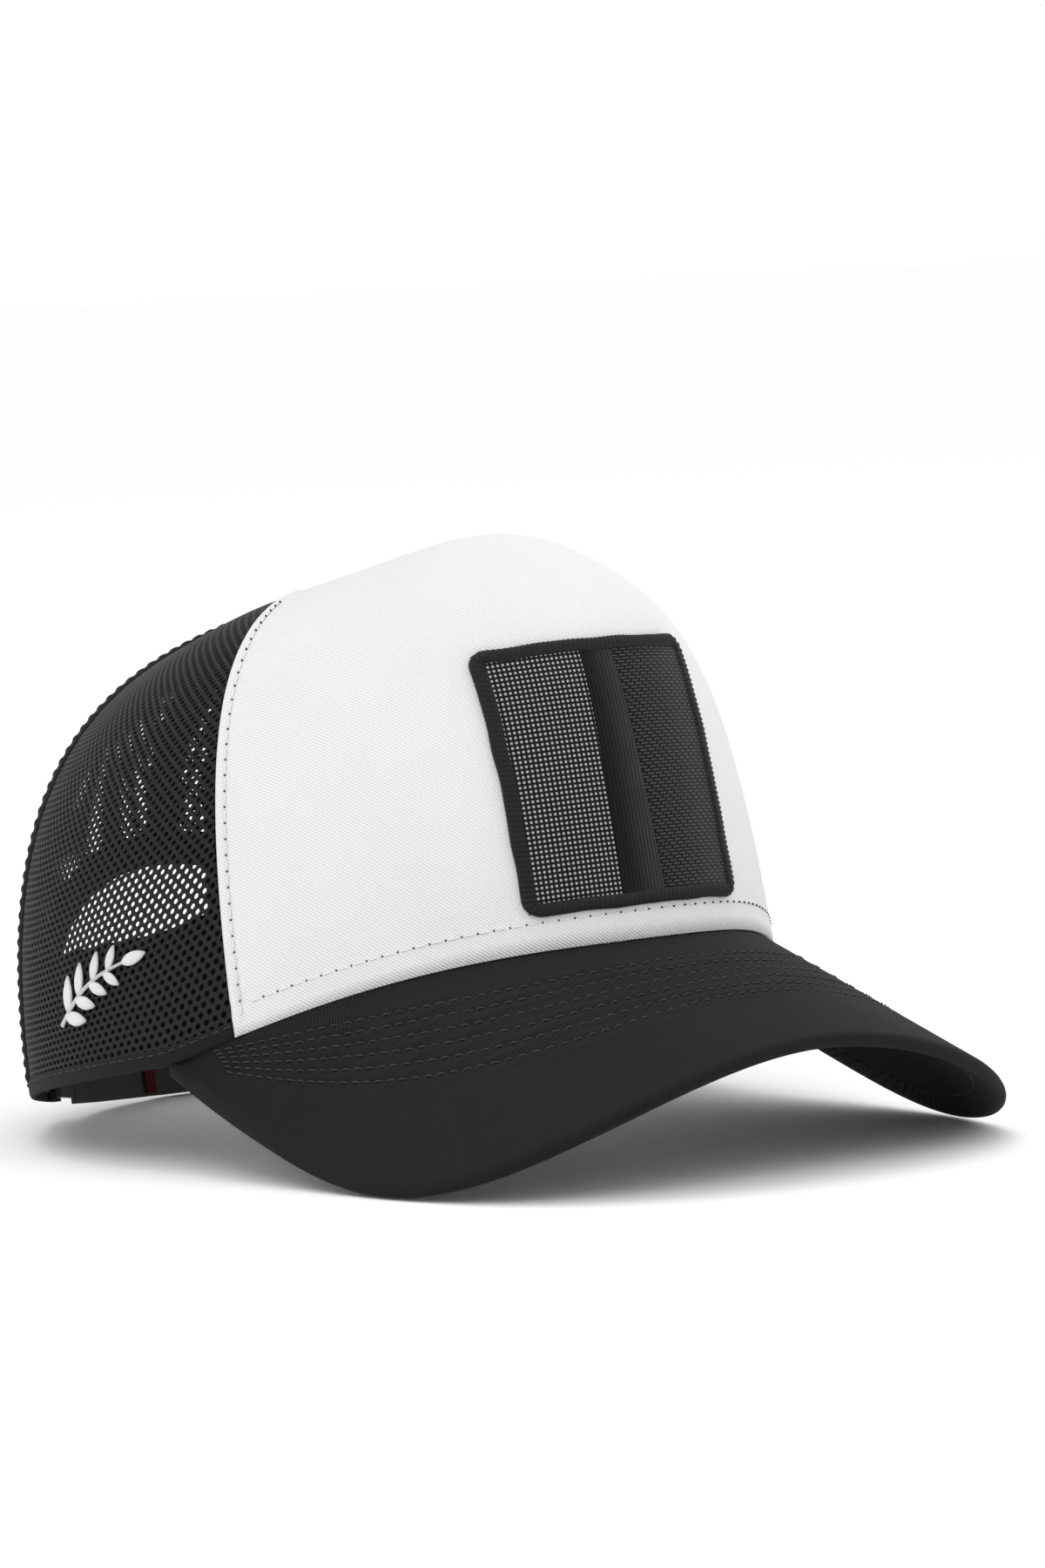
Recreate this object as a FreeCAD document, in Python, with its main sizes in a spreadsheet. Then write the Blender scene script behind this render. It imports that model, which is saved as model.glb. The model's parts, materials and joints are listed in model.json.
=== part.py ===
import FreeCAD, Part
import math
import os
import Sketcher

# A trucker cap: white cotton front, black mesh sides and rear, curved visor, plastic snap closure.
# The cap is drawn as it sits on a head (visor towards -Y, wearer's left at +X, +Z up, hem at the
# back at z = 0) and every sub-part then gets the same resting placement: pitched until the two
# sides of the visor and the back hem stand on one floor, with the origin under the middle.

Vector = FreeCAD.Vector

DIMENSIONS = {
    # crown outline at the hem, and the pole where the panels meet
    "hem_half_width": 88.8, "hem_front": 103.4, "hem_rear": 99.7, "hem_lean": 0.046,
    "hem_squareness": 0.18, "hem_side_rise": 2.28, "pole_y": 10.1, "pole_height": 110.1,
    # crown profile: where the shoulder's control point stands and how strongly it pulls
    "shoulder_reach": 0.992, "shoulder_lean": 0.017, "shoulder_height": 0.957,
    "shoulder_tilt": 0.053, "shoulder_pull": 1.85, "pull_front": 0.67, "pull_ends": 0.70,
    # the raised crest of the front panel
    "crest_height": 9.7, "crest_y": -70.6, "crest_front_run": 21.6, "crest_rear_run": 48.4,
    "crest_half_width": 25.1,
    # visor
    "visor_bend_radius": 94.2, "visor_slope": 27.2, "visor_half_width": 85.8,
    "visor_widest_y": -56.3, "visor_tip_y": -158.7, "visor_fullness": 2.86,
    "visor_corner_angle": 77.2, "visor_corner_trim": 5.0, "cover_thickness": 0.6, "board_thickness": 2.0,
    "board_inset": 2.0, "edge_inset": 0.3,
    # seams between the panels, as angles round the crown from the front centre
    "front_seam_angle": 65.6, "front_seam_sweep": 10.4, "side_seam_angle": 118.0,
    "hole_reach": 4.6,
    # cloth thicknesses and the depth of each layer under the crown's outer surface
    "panel_thickness": 0.8, "backing_depth": 1.0, "backing_thickness": 1.0,
    "tape_depth": 2.15, "tape_thickness": 0.5, "tape_width": 10.0, "tape_reach": 13.0,
    "band_depth": 2.9, "band_thickness": 1.2, "band_height": 31.0, "band_end_angle": 127.0,
    # opening at the back and its binding
    "arch_radius": 50.0, "arch_leg": 7.0, "binding_width": 8.0, "binding_outside": 0.8,
    "binding_inside": 1.4,
    # snap straps
    "strap_centre_y": 28.5, "strap_radius": 69.0, "strap_thickness": 1.2, "strap_height": 18.0, "strap_gap": 0.3,
    "strap_root_angle": 43.4, "strap_tip_angle": 12.2, "strap_base": 0.2, "strap_pitch": 7.8,
    "strap_count": 7.0, "strap_corner": 6.0, "strap_hole_radius": 3.0, "peg_radius": 1.9,
    "peg_tip_radius": 1.5, "peg_length": 1.8, "tab_length": 9.0, "tab_clearance": 0.9,
    "size_tab_width": 4.0, "size_tab_thickness": 0.5,
    # top button
    "button_radius": 7.0, "button_height": 2.8, "button_wall": 0.8, "rivet_radius": 6.5,
    "rivet_thickness": 0.8, "shank_radius": 1.8,
    # front patch
    "patch_width": 58.6, "patch_height": 61.6, "patch_middle": 53.2, "patch_corner": 4.0,
    "patch_thickness": 0.8, "patch_border_width": 3.0, "patch_border_thickness": 1.1,
    "field_thickness": 0.6, "stripe_left": -7.0, "stripe_right": 2.9, "stripe_flare": 0.9,
    # embroidered sprig on the wearer's right side
    "sprig_height": 22.0, "sprig_lean": 24.0, "sprig_leaf_length": 9.0, "sprig_leaf_width": 2.6,
    "sprig_y": -3.0, "sprig_z": 23.0,
    # care label inside the sweatband
    "label_width": 22.0, "label_height": 26.0, "label_thickness": 0.4,
    # pitch of the cap when it stands on its visor and back hem
    "rest_pitch": 10.0,
}

LAYER_GAP = 0.1         # between two sewn layers
COLUMNS = 25            # samples across a panel
ROWS = 19               # samples up a panel
VISOR_END = 0.975       # share of the visor edge that is cut, short of the corner at the hem
PRISM_REACH = 140.0     # how far a cutting prism runs, past the whole cap


def make_sheet(doc):
    """The spreadsheet that holds every driving dimension under its own alias."""
    sheet = doc.addObject("Spreadsheet::Sheet", "Dimensions")
    for row, (alias, value) in enumerate(DIMENSIONS.items(), start=1):
        sheet.set("A%d" % row, alias.replace("_", " "))
        sheet.set("B%d" % row, str(value))
        sheet.setAlias("B%d" % row, alias)
    doc.recompute()
    return sheet


class Dim:
    """A dimension, or a sum or product of them, as a number and as a binding expression."""

    def __init__(self, value, text):
        self.value = value
        self.text = text

    @staticmethod
    def wrap(other):
        return other if isinstance(other, Dim) else Dim(float(other), repr(float(other)))

    def join(self, other, sign, value):
        return Dim(value, "(%s %s %s)" % (self.text, sign, Dim.wrap(other).text))

    def __add__(self, other):
        return self.join(other, "+", self.value + Dim.wrap(other).value)

    def __sub__(self, other):
        return self.join(other, "-", self.value - Dim.wrap(other).value)

    def __mul__(self, other):
        return self.join(other, "*", self.value * Dim.wrap(other).value)

    def __truediv__(self, other):
        return self.join(other, "/", self.value / Dim.wrap(other).value)

    def __neg__(self):
        return Dim(-self.value, "(0 - %s)" % self.text)


ZERO = Dim(0.0, "0")


class CapForm:
    """The cap's outer surfaces as functions of the sheet's dimensions.

    A crown point has an angle round the crown (degrees, 0 at the front centre, positive towards
    +X) and a rise from 0 at the hem to 1 at the pole.
    """

    def __init__(self, sheet):
        for alias in DIMENSIONS:
            setattr(self, alias, float(getattr(sheet, alias)))
        corner = self.hem_plan(self.visor_corner_angle)
        self.corner_x = corner.x
        self.corner_y = corner.y
        self.outline = self.visor_outline()

    def hem_plan(self, angle):
        """Hem outline seen from above: an ellipse, squared a little at both ends."""
        a = math.radians(angle)
        along = 1 - self.hem_lean * math.cos(a) - self.hem_squareness * math.cos(a) ** 2
        end = self.hem_front if math.cos(a) > 0 else self.hem_rear
        return Vector(self.hem_half_width * math.sin(a) * along, -end * math.cos(a), 0)

    def visor_height(self, x, y):
        """Visor surface: a cylinder bent across X that slopes down towards the tip."""
        radius = self.visor_bend_radius
        drop = radius - math.sqrt(max(radius ** 2 - x ** 2, 1.0))
        corner_drop = radius - math.sqrt(radius ** 2 - self.corner_x ** 2)
        slope = math.tan(math.radians(self.visor_slope))
        return corner_drop - drop - slope * (self.corner_y - y) + self.hem_side_rise

    def visor_normal(self, x, y):
        across = x / math.sqrt(max(self.visor_bend_radius ** 2 - x ** 2, 1.0))
        along = -math.tan(math.radians(self.visor_slope))
        return Vector(across, along, 1).normalize()

    def hem_height(self, angle):
        """The hem follows the visor in front and falls gently to the back."""
        if abs(angle) < self.visor_corner_angle:
            plan = self.hem_plan(angle)
            return self.visor_height(plan.x, plan.y)
        fall = math.sin(math.radians(abs(angle))) / math.sin(math.radians(self.visor_corner_angle))
        return self.hem_side_rise * fall ** 2

    def crown(self, angle, rise):
        """Crown point: each profile is a rational arc from the hem over a shoulder to the pole."""
        a = math.radians(angle)
        reach = self.shoulder_reach - self.shoulder_lean * math.cos(a)
        height = self.shoulder_height + self.shoulder_tilt * math.cos(a) * (1.1 - math.cos(a) ** 2)
        pull = self.shoulder_pull + self.pull_front * math.cos(a) + self.pull_ends * math.cos(2 * a)
        start = (1 - rise) ** 2
        middle = 2 * rise * (1 - rise) * pull
        total = start + middle + rise ** 2
        out = (start + middle * reach) / total
        up = (middle * height + rise ** 2) / total
        plan = self.hem_plan(angle)
        hem = self.hem_height(angle)
        x = plan.x * out
        y = self.pole_y + (plan.y - self.pole_y) * out
        z = hem + (self.pole_height - hem) * up
        return Vector(x, y, z + self.crest(x, y) * up ** 2)

    def crest(self, x, y):
        """The crest is a bell-shaped rise, steeper towards the front than towards the pole."""
        run = self.crest_front_run if y < self.crest_y else self.crest_rear_run
        return self.crest_height * math.exp(-((y - self.crest_y) / run) ** 2
                                            - (x / self.crest_half_width) ** 2)

    def crown_inward(self, angle, rise):
        """Unit normal of the crown, pointing into the head space."""
        step = 1e-4
        rise = min(max(rise, step), 1 - 2 * step)
        across = self.crown(angle + 0.05, rise) - self.crown(angle - 0.05, rise)
        up = self.crown(angle, rise + step) - self.crown(angle, rise - step)
        return -(across.cross(up)).normalize()

    def layer(self, angle, rise, depth):
        """Crown point moved the given depth into the cap."""
        return self.crown(angle, rise) + self.crown_inward(angle, rise) * depth

    def rise_where(self, angle, measure, target):
        """The rise at which a measure of the crown point, which grows with rise, meets a target."""
        low, high = 0.0, 1.0
        for _ in range(40):
            middle = (low + high) / 2
            if measure(self.crown(angle, middle)) < target:
                low = middle
            else:
                high = middle
        return (low + high) / 2

    def rise_at_height(self, angle, height):
        """Rise of the point that stands the given height above the hem."""
        hem = self.hem_height(angle)
        return self.rise_where(angle, lambda point: point.z - hem, height)

    def rise_at_reach(self, angle, reach):
        """Rise of the point that lies the given distance from the pole, seen from above."""
        return self.rise_where(angle, lambda p: -math.hypot(p.x, p.y - self.pole_y), -reach)

    def front_seam(self, rise):
        """Angle of the seam beside the front panel, which sweeps forward as it rises."""
        return self.front_seam_angle - self.front_seam_sweep * rise ** 1.6

    def visor_outline(self):
        """Right half of the visor's edge in plan: a superellipse, then a run back to the corner."""
        steps = 60
        power = 2 / self.visor_fullness
        length = self.visor_widest_y - self.visor_tip_y
        points = []
        for step in range(steps + 1):
            a = math.pi / 2 * step / steps
            points.append(Vector(self.visor_half_width * math.sin(a) ** power,
                                 self.visor_widest_y - length * max(math.cos(a), 0.0) ** power, 0))
        for step in range(1, steps // 2 + 1):
            q = 2.0 * step / steps
            points.append(Vector(
                self.visor_half_width - (self.visor_half_width - self.corner_x) * q ** 2.2,
                self.visor_widest_y + (self.corner_y - self.visor_widest_y) * q, 0))
        return points

    def visor_edge(self, across):
        """Edge point in plan; across runs from -1 to 1 in equal steps along the edge."""
        lengths = [0.0]
        for first, second in zip(self.outline, self.outline[1:]):
            lengths.append(lengths[-1] + (second - first).Length)
        target = abs(across) * VISOR_END * lengths[-1]
        index = max(i for i in range(len(lengths) - 1) if lengths[i] <= target)
        share = (target - lengths[index]) / (lengths[index + 1] - lengths[index])
        point = self.outline[index] + (self.outline[index + 1] - self.outline[index]) * share
        return Vector(math.copysign(point.x, across), point.y, 0)

    def visor_rear(self, across):
        """Rear end of the visor, just under the front panel's lower edge."""
        limit = self.visor_corner_angle - self.visor_corner_trim
        plan = self.hem_plan(across * limit)
        inward = Vector(-plan.x, -plan.y, 0).normalize()
        return plan + inward * self.panel_thickness

    def on_visor(self, plan, depth):
        """Visor surface point over a plan point, moved the given depth below the surface."""
        top = Vector(plan.x, plan.y, self.visor_height(plan.x, plan.y))
        return top - self.visor_normal(plan.x, plan.y) * depth

    def visor_rim(self, across, inset):
        """Point of the visor's surface the given distance inside its edge."""
        edge = self.on_visor(self.visor_edge(across), 0)
        ahead = self.on_visor(self.visor_edge(min(across + 0.01, 1.0)), 0)
        behind = self.on_visor(self.visor_edge(max(across - 0.01, -1.0)), 0)
        outward = (ahead - behind).cross(self.visor_normal(edge.x, edge.y)).normalize()
        return edge - outward * inset


def spread(low, high, count):
    """Evenly spaced values from low to high."""
    return [low + (high - low) * i / (count - 1) for i in range(count)]


def closed_slab(outer, inner):
    """Solid between two grids of points: two smooth faces joined by four ruled sides."""
    skins = []
    for grid in (outer, inner):
        skin = Part.BSplineSurface()
        skin.interpolate(grid)
        skins.append(skin)
    faces = [skin.toShape() for skin in skins]
    edges = []
    for skin in skins:
        u0, u1, v0, v1 = skin.bounds()
        edges.append([skin.uIso(u0), skin.uIso(u1), skin.vIso(v0), skin.vIso(v1)])
    for first, second in zip(*edges):
        faces.append(Part.makeRuledSurface(first.toShape(), second.toShape()))
    shell = Part.makeShell(faces)
    shell.sewShape()
    if shell.ShapeType != "Shell":
        shell = shell.Shells[0]
    solid = Part.makeSolid(shell)
    if solid.Volume < 0:
        solid.reverse()
    return solid


def crown_slab(form, angles, rises, depths, columns=COLUMNS, rows=ROWS):
    """Layer of the crown. angles(rise share) gives its two side angles, rises(angle) its lower
    and upper rise, and depths its two depths under the crown's surface."""
    grids = []
    for depth in depths:
        grid = []
        for share in spread(0, 1, columns):
            line = []
            for up in spread(0, 1, rows):
                left, right = angles(up)
                angle = left + (right - left) * share
                low, high = rises(angle)
                line.append(form.layer(angle, low + (high - low) * up, depth))
            grid.append(line)
        grids.append(grid)
    return closed_slab(*grids)


def full_rise(form, lift=0.0):
    """Rises of a panel that runs from the hem, or just above it, to the hole at the pole."""
    def rises(angle):
        low = form.rise_at_height(angle, lift) if lift else 0.0
        return low, form.rise_at_reach(angle, form.hole_reach)
    return rises


def between_heights(form, low, high):
    """Rises of a band between two heights above the hem."""
    return lambda angle: (form.rise_at_height(angle, low), form.rise_at_height(angle, high))


def strip_angles(form, centre, width):
    """Side angles of a strip of constant width along a seam; centre(rise) is the seam's angle."""
    def angles(up):
        angle = centre(up)
        rise = max(form.rise_at_reach(angle, form.tape_reach) * up, 0.01)
        metre = (form.crown(angle + 1, rise) - form.crown(angle - 1, rise)).Length / 2
        return angle - width / 2 / metre, angle + width / 2 / metre
    return angles


def visor_slab(form, depths, stop):
    """Layer of the visor from its rear edge to a stop that is measured back from its edge."""
    grids = []
    for depth in depths:
        grid = []
        for across in spread(-1, 1, 41):
            end = form.visor_rim(across, stop)
            rear = form.visor_rear(across)
            plan_end = Vector(end.x, end.y, 0)
            grid.append([form.on_visor(rear + (plan_end - rear) * share, depth)
                         for share in spread(0, 1, 11)])
        grids.append(grid)
    return closed_slab(*grids)


def new_feature(doc, name, shape):
    """A document object that holds a shape worked out from the sheet."""
    feature = doc.addObject("Part::Feature", name)
    feature.Label = name
    feature.Shape = shape
    return feature


def combine(doc, kind, name, base, tool):
    """A boolean of two document objects."""
    result = doc.addObject(kind, name)
    result.Label = name
    result.Base = base
    result.Tool = tool
    return result


def new_body(doc, name):
    body = doc.addObject("PartDesign::Body", name)
    body.Label = name
    return body


def origin_plane(body, role):
    """One of the body's own origin planes or axes, found by its role."""
    for feature in body.Origin.OriginFeatures:
        if feature.Role == role:
            return feature
    raise ValueError(role)


def new_sketch(body, role, turn=None):
    """Sketch on an origin plane; turn swings it about the body's Z axis."""
    sketch = body.newObject("Sketcher::SketchObject", body.Name + "_sketch")
    sketch.AttachmentSupport = [(origin_plane(body, role), "")]
    sketch.MapMode = "FlatFace"
    if turn is not None:
        sketch.AttachmentOffset = FreeCAD.Placement(Vector(), Vector(0, 1, 0), turn.value)
        sketch.setExpression("AttachmentOffset.Rotation.Angle", turn.text)
    return sketch


def bind_vertex(sketch, edge, end, x, y):
    """Hold one end of a sketch line at the distances x and y from the sketch's origin."""
    for kind, axis, distance in (("DistanceX", -2, x), ("DistanceY", -1, y)):
        if abs(distance.value) < 1e-9:
            sketch.addConstraint(Sketcher.Constraint("PointOnObject", edge, end, axis))
            continue
        index = sketch.addConstraint(
            Sketcher.Constraint(kind, -1, 1, edge, end, distance.value))
        sketch.setExpression("Constraints[%d]" % index, distance.text)


def polygon(body, role, corners, turn=None):
    """Closed outline of straight lines whose corners are pairs of dimensions."""
    sketch = new_sketch(body, role, turn)
    count = len(corners)
    places = [Vector(x.value, y.value, 0) for x, y in corners]
    for i in range(count):
        sketch.addGeometry(Part.LineSegment(places[i], places[(i + 1) % count]), False)
    for i in range(count):
        sketch.addConstraint(Sketcher.Constraint("Coincident", i, 2, (i + 1) % count, 1))
    for i, (x, y) in enumerate(corners):
        bind_vertex(sketch, i, 1, x, y)
    return sketch


def pad(body, sketch, length, midplane=False, reverse=False):
    feature = body.newObject("PartDesign::Pad", body.Name + "_pad")
    feature.Profile = sketch
    feature.Length = length.value
    feature.setExpression("Length", length.text)
    feature.Midplane = midplane
    feature.Reversed = reverse
    return feature


def round_edges(body, base, radius, chosen):
    """Fillet of the base feature's edges that a test picks."""
    body.Document.recompute()
    names = ["Edge%d" % (i + 1) for i, edge in enumerate(base.Shape.Edges) if chosen(edge)]
    fillet = body.newObject("PartDesign::Fillet", body.Name + "_fillet")
    fillet.Base = (base, names)
    fillet.Radius = radius.value
    fillet.setExpression("Radius", radius.text)
    return fillet


def runs_along(direction):
    """Test for straight edges along a direction."""
    def test(edge):
        if edge.Curve.TypeId != "Part::GeomLine":
            return False
        return abs(edge.Curve.Direction.dot(direction)) > 0.999
    return test


def prism(doc, name, role, corners, length, corner_radius=None, reverse=False):
    """Helper body: a straight-sided outline padded along the plane's normal."""
    body = new_body(doc, name)
    outline = polygon(body, role, corners)
    base = pad(body, outline, length, reverse=reverse)
    if corner_radius is not None:
        normal = Vector(0, 1, 0) if role == "XZ_Plane" else Vector(1, 0, 0)
        round_edges(body, base, corner_radius, runs_along(normal))
    return body


def upright_rectangle(centre_z, width, height):
    low = centre_z - height / 2
    high = centre_z + height / 2
    return [(-width / 2, low), (width / 2, low), (width / 2, high), (-width / 2, high)]


def arch_prism(doc, name, radius, leg):
    """Arch-shaped prism: two upright legs under a half circle, running back along +Y."""
    body = new_body(doc, name)
    sketch = new_sketch(body, "XZ_Plane")
    width, top = radius.value, leg.value
    low = -width
    sketch.addGeometry(Part.LineSegment(Vector(-width, top, 0), Vector(-width, low, 0)), False)
    sketch.addGeometry(Part.LineSegment(Vector(-width, low, 0), Vector(width, low, 0)), False)
    sketch.addGeometry(Part.LineSegment(Vector(width, low, 0), Vector(width, top, 0)), False)
    circle = Part.Circle(Vector(0, top, 0), Vector(0, 0, 1), width)
    sketch.addGeometry(Part.ArcOfCircle(circle, 0, math.pi), False)
    for first, second, end in ((0, 1, 1), (1, 2, 1), (2, 3, 1)):
        sketch.addConstraint(Sketcher.Constraint("Coincident", first, 2, second, end))
    sketch.addConstraint(Sketcher.Constraint("Coincident", 3, 2, 0, 1))
    sketch.addConstraint(Sketcher.Constraint("Vertical", 0))
    sketch.addConstraint(Sketcher.Constraint("Horizontal", 1))
    sketch.addConstraint(Sketcher.Constraint("Vertical", 2))
    sketch.addConstraint(Sketcher.Constraint("PointOnObject", 3, 3, -2))
    height = sketch.addConstraint(Sketcher.Constraint("DistanceY", -1, 1, 3, 3, top))
    sketch.setExpression("Constraints[%d]" % height, leg.text)
    size = sketch.addConstraint(Sketcher.Constraint("Radius", 3, width))
    sketch.setExpression("Constraints[%d]" % size, radius.text)
    depth = sketch.addConstraint(Sketcher.Constraint("DistanceY", -1, 1, 1, 1, low))
    sketch.setExpression("Constraints[%d]" % depth, (-radius).text)
    pad(body, sketch, Dim.wrap(PRISM_REACH), reverse=True)
    return body


def front_pieces(doc, form):
    """White front panel and the stiff backing behind it."""
    panel = crown_slab(form, lambda up: (-form.front_seam(up), form.front_seam(up)),
                       full_rise(form, 0.5), (0, form.panel_thickness), columns=41, rows=25)
    inset = 4.0

    def backing_angles(up):
        side = form.front_seam(0.85 * up) - inset
        return -side, side

    def backing_rises(angle):
        return form.rise_at_height(angle, 1.0), 0.85

    depths = (form.backing_depth, form.backing_depth + form.backing_thickness)
    backing = crown_slab(form, backing_angles, backing_rises, depths, columns=33, rows=21)
    return [new_feature(doc, "front_panel", panel), new_feature(doc, "front_backing", backing)]


def mesh_sides(doc, form):
    """One mesh panel on each side, between the front seam and the side seam."""
    panels = []
    for name, side in (("mesh_side_right", -1), ("mesh_side_left", 1)):
        shape = crown_slab(
            form, lambda up: (side * form.front_seam(up), side * form.side_seam_angle),
            full_rise(form), (0, form.panel_thickness))
        panels.append(new_feature(doc, name, shape))
    return panels


def rear_pieces(doc, form, dims):
    """Two mesh panels that meet at the back, cut by the arch, and the arch's binding."""
    outer = arch_prism(doc, "arch_outer", dims["arch_radius"] + dims["binding_width"],
                       dims["arch_leg"])
    inner = arch_prism(doc, "arch_inner", dims["arch_radius"], dims["arch_leg"])
    pieces = []
    for name, side in (("mesh_rear_right", -1), ("mesh_rear_left", 1)):
        shape = crown_slab(form, lambda up: (side * form.side_seam_angle, side * 180.0),
                           full_rise(form), (0, form.panel_thickness))
        whole = new_feature(doc, name + "_uncut", shape)
        pieces.append(combine(doc, "Part::Cut", name, whole, outer))
    high = form.arch_radius + form.arch_leg + form.binding_width + 6
    wall = crown_slab(form, lambda up: (122.0, 238.0), between_heights(form, 0.0, high),
                      (-form.binding_outside, form.binding_inside), columns=31, rows=15)
    ring = combine(doc, "Part::Cut", "binding_ring", outer, inner)
    uncut = new_feature(doc, "binding_uncut", wall)
    pieces.append(combine(doc, "Part::Common", "opening_binding", uncut, ring))
    return pieces


def visor_pieces(doc, form):
    """Visor board between its two cloth covers."""
    top = form.cover_thickness
    board_top = top + LAYER_GAP
    board_end = board_top + form.board_thickness
    under = board_end + LAYER_GAP
    layers = (
        ("visor_top_cover", (0.0, top), form.edge_inset),
        ("visor_board", (board_top, board_end), form.board_inset),
        ("visor_under_cover", (under, under + form.cover_thickness), form.edge_inset),
    )
    return [new_feature(doc, name, visor_slab(form, depths, stop))
            for name, depths, stop in layers]


def inside_pieces(doc, form):
    """Sweatband, seam tapes and care label, all on the inside of the crown."""
    band = crown_slab(form, lambda up: (-form.band_end_angle, form.band_end_angle),
                      between_heights(form, 1.5, form.band_height),
                      (form.band_depth, form.band_depth + form.band_thickness),
                      columns=61, rows=7)
    pieces = [new_feature(doc, "sweatband", band)]
    arch_top = form.arch_leg + form.arch_radius + form.binding_width + 2
    seams = (
        ("seam_tape_front_right", lambda up: -form.front_seam(up), 2.0),
        ("seam_tape_front_left", lambda up: form.front_seam(up), 2.0),
        ("seam_tape_side_right", lambda up: -form.side_seam_angle, 2.0),
        ("seam_tape_side_left", lambda up: form.side_seam_angle, 2.0),
        ("seam_tape_rear", lambda up: 180.0, arch_top),
    )
    depths = (form.tape_depth, form.tape_depth + form.tape_thickness)
    for name, centre, low in seams:
        def rises(angle, low=low):
            return form.rise_at_height(angle, low), form.rise_at_reach(angle, form.tape_reach)
        strip = crown_slab(form, strip_angles(form, centre, form.tape_width), rises, depths,
                           columns=5, rows=21)
        pieces.append(new_feature(doc, name, strip))
    label_depth = form.band_depth + form.band_thickness + LAYER_GAP
    side = form.label_width / 2 / form.hem_half_width * 180 / math.pi
    label = crown_slab(form, lambda up: (108.0 - side, 108.0 + side),
                       between_heights(form, 3.0, 3.0 + form.label_height),
                       (label_depth, label_depth + form.label_thickness), columns=7, rows=5)
    pieces.append(new_feature(doc, "care_label", label))
    return pieces


def patch_pieces(doc, form, dims):
    """Sewn patch on the front: woven base, three stitched fields and a raised border."""
    width, height, middle = dims["patch_width"], dims["patch_height"], dims["patch_middle"]
    border = dims["patch_border_width"]
    reach = Dim.wrap(PRISM_REACH)
    whole = upright_rectangle(middle, width, height)
    inside = upright_rectangle(middle, width - border * 2, height - border * 2)
    outer = prism(doc, "patch_outline", "XZ_Plane", whole, reach, dims["patch_corner"])
    inner = prism(doc, "patch_inside", "XZ_Plane", inside, reach, dims["patch_corner"] - 2.0)

    def cover(name, low, high):
        shape = crown_slab(form, lambda up: (-30.0, 30.0), between_heights(form, 3.0, 76.0),
                           (-high, -low), columns=21, rows=21)
        return new_feature(doc, name, shape)

    base_low = LAYER_GAP
    base_high = base_low + form.patch_thickness
    face_low = base_high + LAYER_GAP
    base = combine(doc, "Part::Common", "patch_base",
                   cover("patch_base_uncut", base_low, base_high), outer)
    ring = combine(doc, "Part::Cut", "patch_ring", outer, inner)
    rim = cover("patch_border_uncut", face_low, face_low + form.patch_border_thickness)
    pieces = [base, combine(doc, "Part::Common", "patch_border", rim, ring)]

    slack = 0.2
    left, right = inside[0][0] + slack, inside[1][0] - slack
    low, high = inside[0][1] + slack, inside[2][1] - slack
    flare = dims["stripe_flare"]
    stripe_left, stripe_right = dims["stripe_left"], dims["stripe_right"]
    fields = (
        ("patch_light_field", left, left, stripe_left - flare - slack,
         stripe_left + flare - slack),
        ("patch_stripe", stripe_left - flare, stripe_left + flare, stripe_right + flare,
         stripe_right - flare),
        ("patch_dark_field", stripe_right + flare + slack, stripe_right - flare + slack,
         right, right),
    )
    for name, low_left, high_left, low_right, high_right in fields:
        corners = [(low_left, low), (low_right, low), (high_right, high), (high_left, high)]
        outline = prism(doc, name + "_outline", "XZ_Plane", corners, reach)
        skin = cover(name + "_uncut", face_low, face_low + form.field_thickness)
        pieces.append(combine(doc, "Part::Common", name, skin, outline))
    return pieces


def sprig_outline(form):
    """Side emblem in its own plane: a leaning stem with three pairs of leaves and one on top."""
    lean = math.radians(form.sprig_lean)
    stem = Vector(math.sin(lean), math.cos(lean), 0)
    foot = -stem * (form.sprig_height / 2)
    leaves = [(foot + stem * (form.sprig_height - form.sprig_leaf_length), 0.0)]
    for pair in range(3):
        root = foot + stem * (form.sprig_height * (0.16 + 0.19 * pair))
        leaves += [(root, 52.0), (root, -52.0)]
    return foot, stem, leaves


def leaf_face(root, direction, length, width):
    """Pointed leaf: two equal arcs from the root to the tip."""
    tip = root + direction * length
    bulge = Vector(-direction.y, direction.x, 0) * (width / 2)
    middle = (root + tip) / 2
    arcs = [Part.Arc(root, middle + bulge, tip).toShape(),
            Part.Arc(tip, middle - bulge, root).toShape()]
    return Part.Face(Part.Wire(arcs))


def side_emblem(doc, form):
    """Embroidered sprig on the wearer's right side, its outline cut through a thin skin."""
    foot, stem, leaves = sprig_outline(form)
    faces = [leaf_face(foot, stem, form.sprig_height - form.sprig_leaf_length, 1.4)]
    for root, turn in leaves:
        direction = FreeCAD.Rotation(Vector(0, 0, 1), turn).multVec(stem)
        faces.append(leaf_face(root + direction * 0.6, direction, form.sprig_leaf_length,
                               form.sprig_leaf_width))
    skin = crown_slab(form, lambda up: (-106.0, -74.0), between_heights(form, 6.0, 40.0),
                      (-0.9, -LAYER_GAP), columns=15, rows=9)
    upright = FreeCAD.Placement(Vector(0, form.sprig_y, form.sprig_z),
                                FreeCAD.Rotation(Vector(0, -1, 0), Vector(0, 0, 1),
                                                 Vector(-1, 0, 0), "XYZ"))
    pieces = []
    for face in faces:
        cutter = face.extrude(Vector(0, 0, PRISM_REACH))
        cutter.Placement = upright
        pieces += skin.common(cutter).Solids
    joined = pieces[0].fuse(pieces[1:])
    return [new_feature(doc, "side_emblem", Part.makeCompound(joined.Solids))]


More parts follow.
